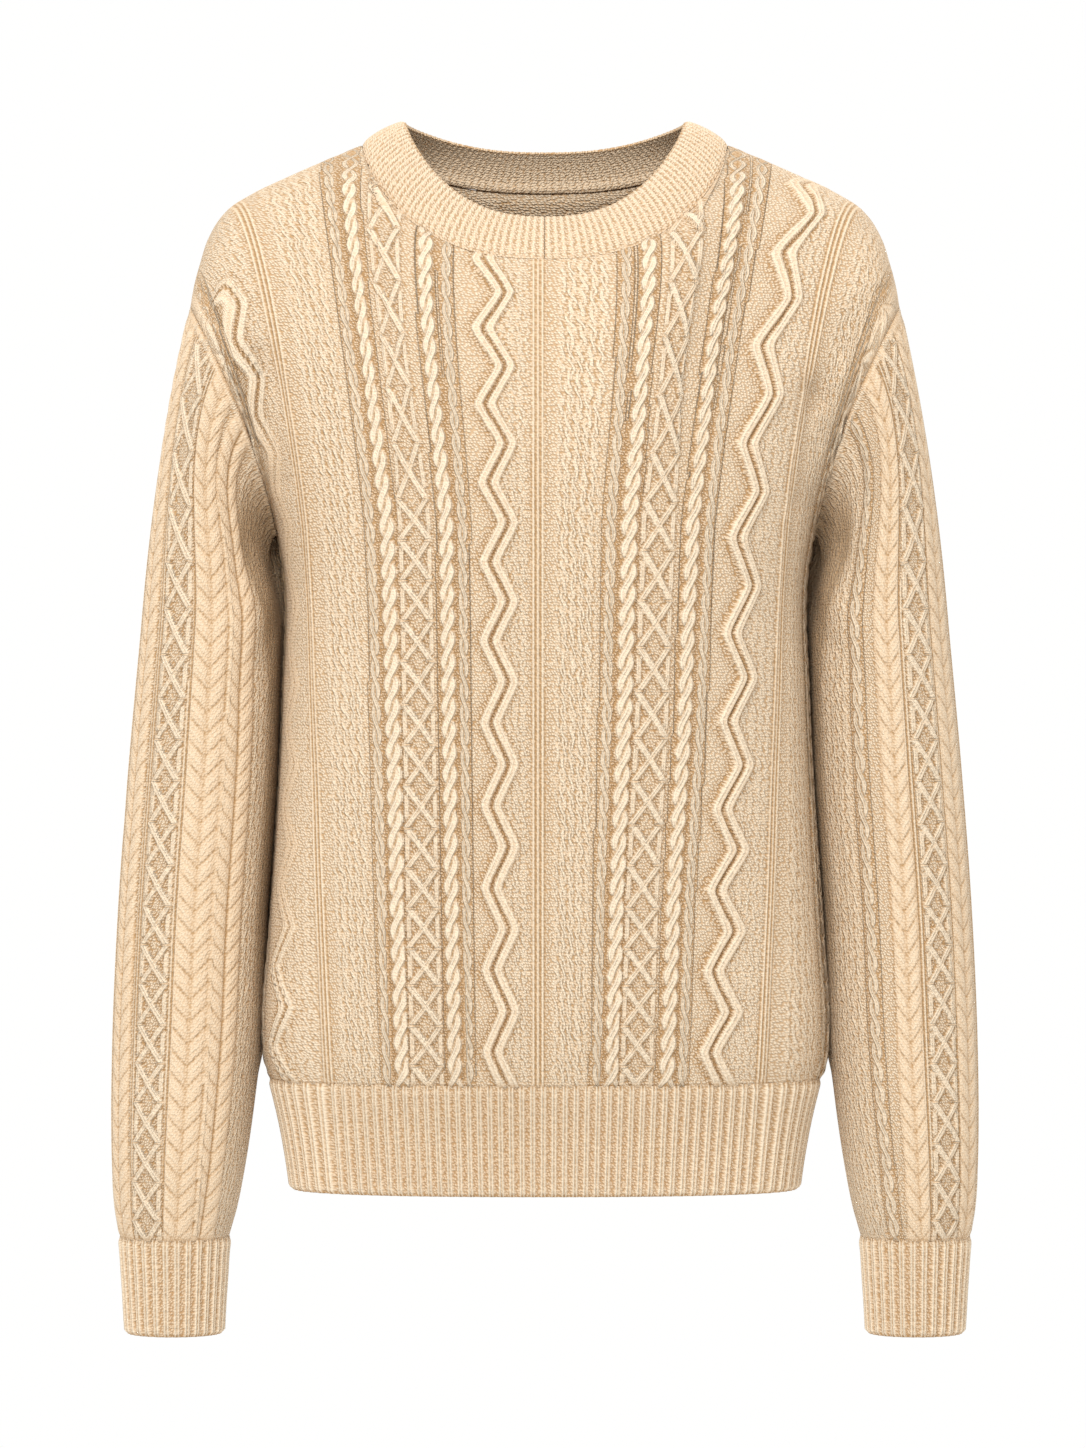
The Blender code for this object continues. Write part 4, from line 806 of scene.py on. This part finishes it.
def woolMaterial(name, reliefTone, base):
    material = bpy.data.materials.new(name)
    material.use_nodes = True
    tree = material.node_tree
    place = node(tree, "ShaderNodeTexCoord", {})["Object"]
    marks = {key: node(tree, "ShaderNodeAttribute", {}, attribute_name=key)["Fac"]
             for key in (*plainMarks, "hollow", "across", "rise")}

    def maths(operation, *values):
        return node(tree, "ShaderNodeMath", dict(enumerate(values)), operation=operation)[0]

    def times(first, second):
        return maths("MULTIPLY", first, second)

    # The product of the first two, and the third added
    def timesPlus(first, second, third):
        return maths("MULTIPLY_ADD", first, second, third)

    # 0 at the edge's beginning and 1 where it is full, eased
    def between(value, edge):
        ends = {"Value": value, "From Min": edge[0], "From Max": edge[1]}
        return node(tree, "ShaderNodeMapRange", ends, interpolation_type="SMOOTHSTEP")["Result"]

    # cos of so many whole turns
    def wave(turns, count):
        return maths("COSINE", times(turns, 2 * np.pi * count))

    def noise(size, detail):
        return node(tree, "ShaderNodeTexNoise", {"Scale": size, "Detail": detail, "Vector": place})["Fac"]

    # A place on the cloth in cells of the given size, in rows that lean
    def cell(size, lean):
        leaning = timesPlus(marks["rise"], -lean, marks["across"])
        spot = {"X": maths("DIVIDE", leaning, size[0]), "Y": maths("DIVIDE", marks["rise"], size[1])}
        return node(tree, "ShaderNodeCombineXYZ", spot)["Vector"]

    # Beads in leaning rows, 1 on their tops and 0 between
    def beads():
        cells = {"Scale": 1.0, "Randomness": woolForm["beadChance"],
                 "Vector": cell(woolForm["beadSize"], woolForm["beadLean"])}
        bead = node(tree, "ShaderNodeTexVoronoi", cells, voronoi_dimensions="2D", feature="F1")["Distance"]
        return times(between(bead, woolForm["beadEdge"]), maths("ADD", marks["grain"], woolForm["leastGrain"]))

    # Moss: columns of two thin strands that wind round each other, on the lines x = +-0.5 sin of the
    # climb, with x from -1 to 1 across a column. The one that rises to the left lies on top. Chance
    # gives each column its start, and noise bends both ways.
    def strokes():
        wide, high = woolForm["strokeSize"]
        warp = {"Scale": 1.0, "Detail": 0.0, "Vector": cell(woolForm["warpSize"], 0.0)}
        warp = node(tree, "ShaderNodeTexNoise", warp, noise_dimensions="2D")["Color"]
        bend = node(tree, "ShaderNodeSeparateXYZ", {"Vector": warp})
        column = maths("DIVIDE", timesPlus(bend["X"], woolForm["warpReach"][0], marks["across"]), wide)
        climb = timesPlus(bend["Y"], woolForm["warpReach"][1], marks["rise"])
        x = timesPlus(maths("FRACT", column), 2.0, -1.0)
        chance = node(tree, "ShaderNodeTexWhiteNoise", {"W": maths("FLOOR", column)}, noise_dimensions="1D")
        turn = timesPlus(chance["Value"], woolForm["strokeStarts"], maths("DIVIDE", climb, high))
        swing = times(wave(maths("ADD", turn, -0.25), 1), 0.5)
        onTop = wave(turn, 1)
        plain, change = woolForm["strokeShares"]
        best = 0.0
        for sign in (-1.0, 1.0):
            line = between(maths("ABSOLUTE", timesPlus(swing, sign, x)), woolForm["strokeEdge"])
            best = maths("MAXIMUM", best, times(line, timesPlus(onTop, change * sign, plain)))
        return best

    # The rope's two strands, each hidden where the other lies on top, and the columns on them
    def twistedPair():
        swing = times(wave(maths("ADD", marks["turn"], -0.5), 0.5), maths("SUBTRACT", 1.0, marks["rope"]))
        top = between(wave(marks["turn"], 0.5), (-0.5, 0.5))
        away = [maths("DIVIDE", maths("ABSOLUTE", timesPlus(swing, sign, marks["side"])),
                      maths("MAXIMUM", marks["rope"], 0.1)) for sign in (-1.0, 1.0)]
        shapes, lines = [], []
        for own, other, over in ((*away, maths("SUBTRACT", 1.0, top)), (*away[::-1], top)):
            covered = times(over, between(other, woolForm["coverEdge"]))
            shapes.append(times(between(own, woolForm["pairEdge"]), maths("SUBTRACT", 1.0, covered)))
            lines.append(times(wave(own, 1 / woolForm["pitch"]), shapes[-1]))
        roped = between(marks["rope"], (0.05, 0.3))
        return {"roped": roped, "pair": times(maths("MAXIMUM", *shapes), roped),
                "pairColumns": times(maths("ADD", *lines), roped)}

    share = maths("FRACT", marks["turn"])
    centred = timesPlus(share, 2.0, -1.0)
    dome = maths("SUBTRACT", 1.0, times(centred, centred))
    near = maths("MINIMUM", maths("ABSOLUTE", marks["first"]), maths("ABSOLUTE", marks["second"]))
    strands = times(between(near, woolForm["strandEdge"]), marks["twin"])
    parts = marks | twistedPair() | {
        "bulge": times(maths("SQRT", dome), marks["cord"]), "dome": times(dome, marks["cord"]),
        "cordColumns": times(wave(share, 3), marks["cord"]),
        "strands": strands, "strandColumns": times(wave(near, 1 / woolForm["pitch"]), strands),
        "columns": times(wave(marks["strand"], 1), marks["fine"]), "stroke": times(strokes(), marks["moss"]),
        "grains": beads(), "yarn": noise(woolForm["yarnSize"], 1.0), "cloud": noise(woolForm["cloudSize"], 2.0)}

    # The sum of the parts, each times its weight
    def total(start, weights):
        for key, weight in weights.items():
            start = timesPlus(parts[key], weight, start)
        return start

    ramp = tree.nodes.new("ShaderNodeValToRGB")
    # The tone, mostly painted light and shade from the relief and the stitches, picks the colour from sunk through
    # ground to crest
    tree.links.new(total(base, woolForm["tones"] | {"relief": reliefTone}), ramp.inputs["Fac"])
    stops = ramp.color_ramp.elements
    stops[0].color, stops[1].color = woolForm["sunk"], woolForm["crest"]
    stops.new(woolForm["groundAt"]).color = woolForm["ground"]
    # Painted shade: the colour is mixed towards the dark brown as far as the cleft mark says
    blend = {"Factor": times(marks["cleftShade"], woolForm["cleftShadeShare"]), "A": ramp.outputs["Color"],
             "B": woolForm["cleftShade"]}
    bump = {"Strength": 1.0, "Distance": millimetre, "Height": total(0.0, woolForm["heights"])}
    shader = tree.nodes["Principled BSDF"]
    tree.links.new(node(tree, "ShaderNodeMix", blend, data_type="RGBA")["Result"], shader.inputs["Base Color"])
    tree.links.new(node(tree, "ShaderNodeBump", bump)["Normal"], shader.inputs["Normal"])
    for key, value in woolSurface.items():
        shader.inputs[key].default_value = value
    return material


cableWool = woolMaterial("cableWool", 0.07, 0.12)
ribWool = woolMaterial("ribWool", 0.22, 0.10)
print("wool ready")


# Places along a direction, so many between each two stops
def spread(counts, stops):
    parts = [np.linspace(low, high, count, endpoint=False)
             for count, low, high in zip(counts, stops[:-1], stops[1:])]
    return np.concatenate(parts + [np.array([stops[-1]])])


# Columns stand close at the motifs: (place in the repeat, half width there, closeness)
panelGrid = {"across": 300, "up": (168, 144), "every": (6, 6), "spread": 0.12, "spreadWide": 0.17,
             "samples": 5601, "plain": (0.55, 0.75), "plainTo": 1.02, "closeTo": 1.05, "blur": 60,
             "close": ((0.0, 0.045, 1.5), (1.0, 0.045, 1.5), (0.28, 0.035, 1.7), (0.35, 0.045, 1.2),
                       (0.475, 0.09, 2.0), (0.60, 0.045, 1.2), (0.67, 0.035, 1.7), (0.85, 0.115, 2.0))}


# Places across a panel, stepped by the inverse of the closeness wanted there
def panelColumns():
    edge = bodyForm["edge"]
    blur = panelGrid["blur"]
    places = np.linspace(-edge, edge, panelGrid["samples"])
    closeness = np.where(np.abs(places) < panelGrid["plainTo"], *panelGrid["plain"])
    for at, half, value in panelGrid["close"]:
        inside = (np.abs(np.mod(places, 1.0) - at) < half) & (np.abs(places) < panelGrid["closeTo"])
        closeness = np.where(inside, value, closeness)
    window = np.ones(2 * blur + 1) / (2 * blur + 1)
    closeness = np.convolve(np.pad(closeness, blur, mode="edge"), window, mode="valid")
    run = summed((closeness[1:] + closeness[:-1]) / 2)
    return np.interp(np.linspace(0.0, run[-1], panelGrid["across"] + 1), run, places)


# Panel points, with the fold at the neck's corner spread over the cloth beside it
def smoothPanel(across, up, face):
    reach = panelGrid["spread"] * bell(np.abs(across) - bodyForm["neckEdge"], panelGrid["spreadWide"])
    reach = reach * eased((2.0 - up) / 0.14) * eased((up - 1.0) / 0.4)
    taps = np.linspace(-1.0, 1.0, 9)
    return sum(panelSurface(across + tap * reach, up, face) for tap in taps) / len(taps)


def makePanel(name, face):
    across, up = np.meshgrid(panelColumns(), spread(panelGrid["up"], (0.0, 1.0, 2.0)))
    points = smoothPanel(across, up, face)
    cloth = chartCloth(across, up, points, face)
    return clothPiece(name, points, cloth, False, -face, panelGrid["every"], cableWool)


sleeveGrid = {"around": 240, "up": (240, 96), "every": (6, 6)}


def makeSleeve(name, side):
    around, up = np.meshgrid(np.arange(sleeveGrid["around"]) * 360.0 / sleeveGrid["around"],
                             spread(sleeveGrid["up"], (0.0, 1.0, 2.0)))
    points = sleeveSurface(around, up, side)
    cloth = sleeveCloth(around, up, points, side)
    return clothPiece(name, points, cloth, True, side, sleeveGrid["every"], cableWool)


# Rows of a rib, close together at its two ends
def ribRows(count):
    even = np.linspace(0.0, 1.0, count + 1)
    return even - 0.13 * np.sin(2 * np.pi * even)


hemRib = {"ribs": 56, "points": 10, "rows": 20, "lift": 2.1, "reach": 6.7, "every": (4, 5)}


def makeHem(name, face):
    edge = bodyForm["edge"]
    line = np.linspace(-edge, edge, hemRib["ribs"] * hemRib["points"] + 1)
    across, up = np.meshgrid(line, ribRows(hemRib["rows"]))
    points = hemSurface(across, up, face)
    cloth = ribCloth((across + edge) / (2 * edge) * hemRib["ribs"], 2, hemRib["lift"], points, hemRib["reach"])
    return clothPiece(name, points, cloth, False, -face, hemRib["every"], ribWool)


cuffRib = {"ribs": 30, "points": 10, "rows": 20, "lift": 2.1, "reach": 6.5, "every": (4, 5)}


def makeCuff(name, side):
    count = cuffRib["ribs"] * cuffRib["points"]
    around, up = np.meshgrid(np.arange(count) * 360.0 / count, ribRows(cuffRib["rows"]))
    points = cuffSurface(around, up, side)
    cloth = ribCloth(around / 360.0 * cuffRib["ribs"] + 0.5, 2, cuffRib["lift"], points, cuffRib["reach"])
    return clothPiece(name, points, cloth, True, side, cuffRib["every"], ribWool)


neckRib = {"ribs": 140, "points": 8, "rows": 14, "lift": 0.95, "innerLift": 0.9, "reach": 4.3, "every": (1, 2),
           "seamLift": 1.3, "seamAt": 0.08, "seamWide": 0.06}


# Turns round the band that stand even lengths apart along its middle
def evenTurns(shares):
    angles = np.linspace(0.0, 360.0, 1441)
    run = climbed(neckbandSurface(angles, np.full_like(angles, 0.5)))
    return np.interp(shares * run[-1], run, angles)


# The band is ribbed inside too, and thicker along its inner seam
def makeNeckband():
    count = neckRib["ribs"] * neckRib["points"]
    shares = np.arange(count) / count
    around, up = np.meshgrid(evenTurns(shares), ribRows(neckRib["rows"]))
    points = neckbandSurface(around, up)
    turns = np.broadcast_to(shares * neckRib["ribs"], around.shape)
    cloth = ribCloth(turns, 1, neckRib["lift"], points, neckRib["reach"], True)
    inward = (wall + neckRib["innerLift"] * (0.5 + 0.5 * np.cos(2 * np.pi * turns))
              + neckRib["seamLift"] * bell(up - neckRib["seamAt"], neckRib["seamWide"]))
    return clothPiece("neckbandKnit", points, cloth, True, 1, neckRib["every"], ribWool, inward, True)


# The knitted piece, in metres, that stands in place of each solid; each hangs from the root and its solid is hidden
madePieces = {"front_panel": makePanel("frontKnit", -1), "back_panel": makePanel("backKnit", 1),
              "hem_rib_front": makeHem("hemRibFrontKnit", -1), "hem_rib_back": makeHem("hemRibBackKnit", 1)}
for hand, side in (("left", 1), ("right", -1)):
    madePieces["sleeve_" + hand] = makeSleeve("sleeve" + hand.title() + "Knit", side)
    madePieces["cuff_" + hand] = makeCuff("cuff" + hand.title() + "Knit", side)
madePieces["neckband"] = makeNeckband()
for solid, piece in madePieces.items():
    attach(piece, "root")
    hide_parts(solid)
print("cloth ready")

# A pale floor well below the cuffs, so bright that it takes no shade
studioForm = {
    "floorHeight": -3.2, "floorHalf": 12.0, "floorColor": (0.97, 0.97, 0.965, 1.0),
    "skyColor": (1.0, 1.0, 0.995, 1.0), "skyStrength": 1.0,
    "keyPlace": (-0.7, -2.9, 2.3), "keySize": 2.0, "keyPower": 110.0,
    "backPlace": (0.9, 3.4, 1.7), "backSize": 2.0, "backPower": 70.0,
    "aim": (0.0, 0.0, -0.36),
    "cameraPlace": (-0.0012, -4.0, -0.3608), "lens": 160.0, "longSide": 36.0,
}


def makeFloor():
    half, height = studioForm["floorHalf"], studioForm["floorHeight"]
    mesh = bpy.data.meshes.new("floor")
    corners = [(-half, -half, height), (half, -half, height), (half, half, height), (-half, half, height)]
    mesh.from_pydata(corners, [], [(0, 1, 2, 3)])
    material = bpy.data.materials.new("floorPaper")
    material.use_nodes = True
    shader = material.node_tree.nodes["Principled BSDF"]
    shader.inputs["Base Color"].default_value = studioForm["floorColor"]
    mesh.materials.append(material)
    floor = bpy.data.objects.new("floor", mesh)
    bpy.context.scene.collection.objects.link(floor)


def aimed(item, place, target):
    item.location = place
    direction = Vector(target) - Vector(place)
    item.rotation_euler = direction.to_track_quat("-Z", "Y").to_euler()


def makeLight(name, place, size, power):
    light = bpy.data.lights.new(name, "AREA")
    light.shape = "DISK"
    light.size = size
    light.energy = power
    item = bpy.data.objects.new(name, light)
    bpy.context.scene.collection.objects.link(item)
    aimed(item, place, studioForm["aim"])


makeFloor()
makeLight("keyLight", studioForm["keyPlace"], studioForm["keySize"], studioForm["keyPower"])
makeLight("backLight", studioForm["backPlace"], studioForm["backSize"], studioForm["backPower"])

# The sky lights the cloth softly, and the camera sees it as plain white
world = bpy.data.worlds.new("studio")
world.use_nodes = True
background = world.node_tree.nodes["Background"]
background.inputs["Color"].default_value = studioForm["skyColor"]
background.inputs["Strength"].default_value = studioForm["skyStrength"]
bpy.context.scene.world = world
bpy.context.scene.view_settings.view_transform = "Standard"
bpy.context.scene.view_settings.look = "None"

camera = bpy.data.cameras.new("camera")
camera.lens = studioForm["lens"]
camera.sensor_width = studioForm["longSide"]
camera.sensor_height = studioForm["longSide"]
camera.sensor_fit = "AUTO"
cameraItem = bpy.data.objects.new("camera", camera)
bpy.context.scene.collection.objects.link(cameraItem)
cameraItem.location = studioForm["cameraPlace"]
cameraItem.rotation_euler = (np.pi / 2, 0.0, 0.0)
bpy.context.scene.camera = cameraItem
print("studio ready")
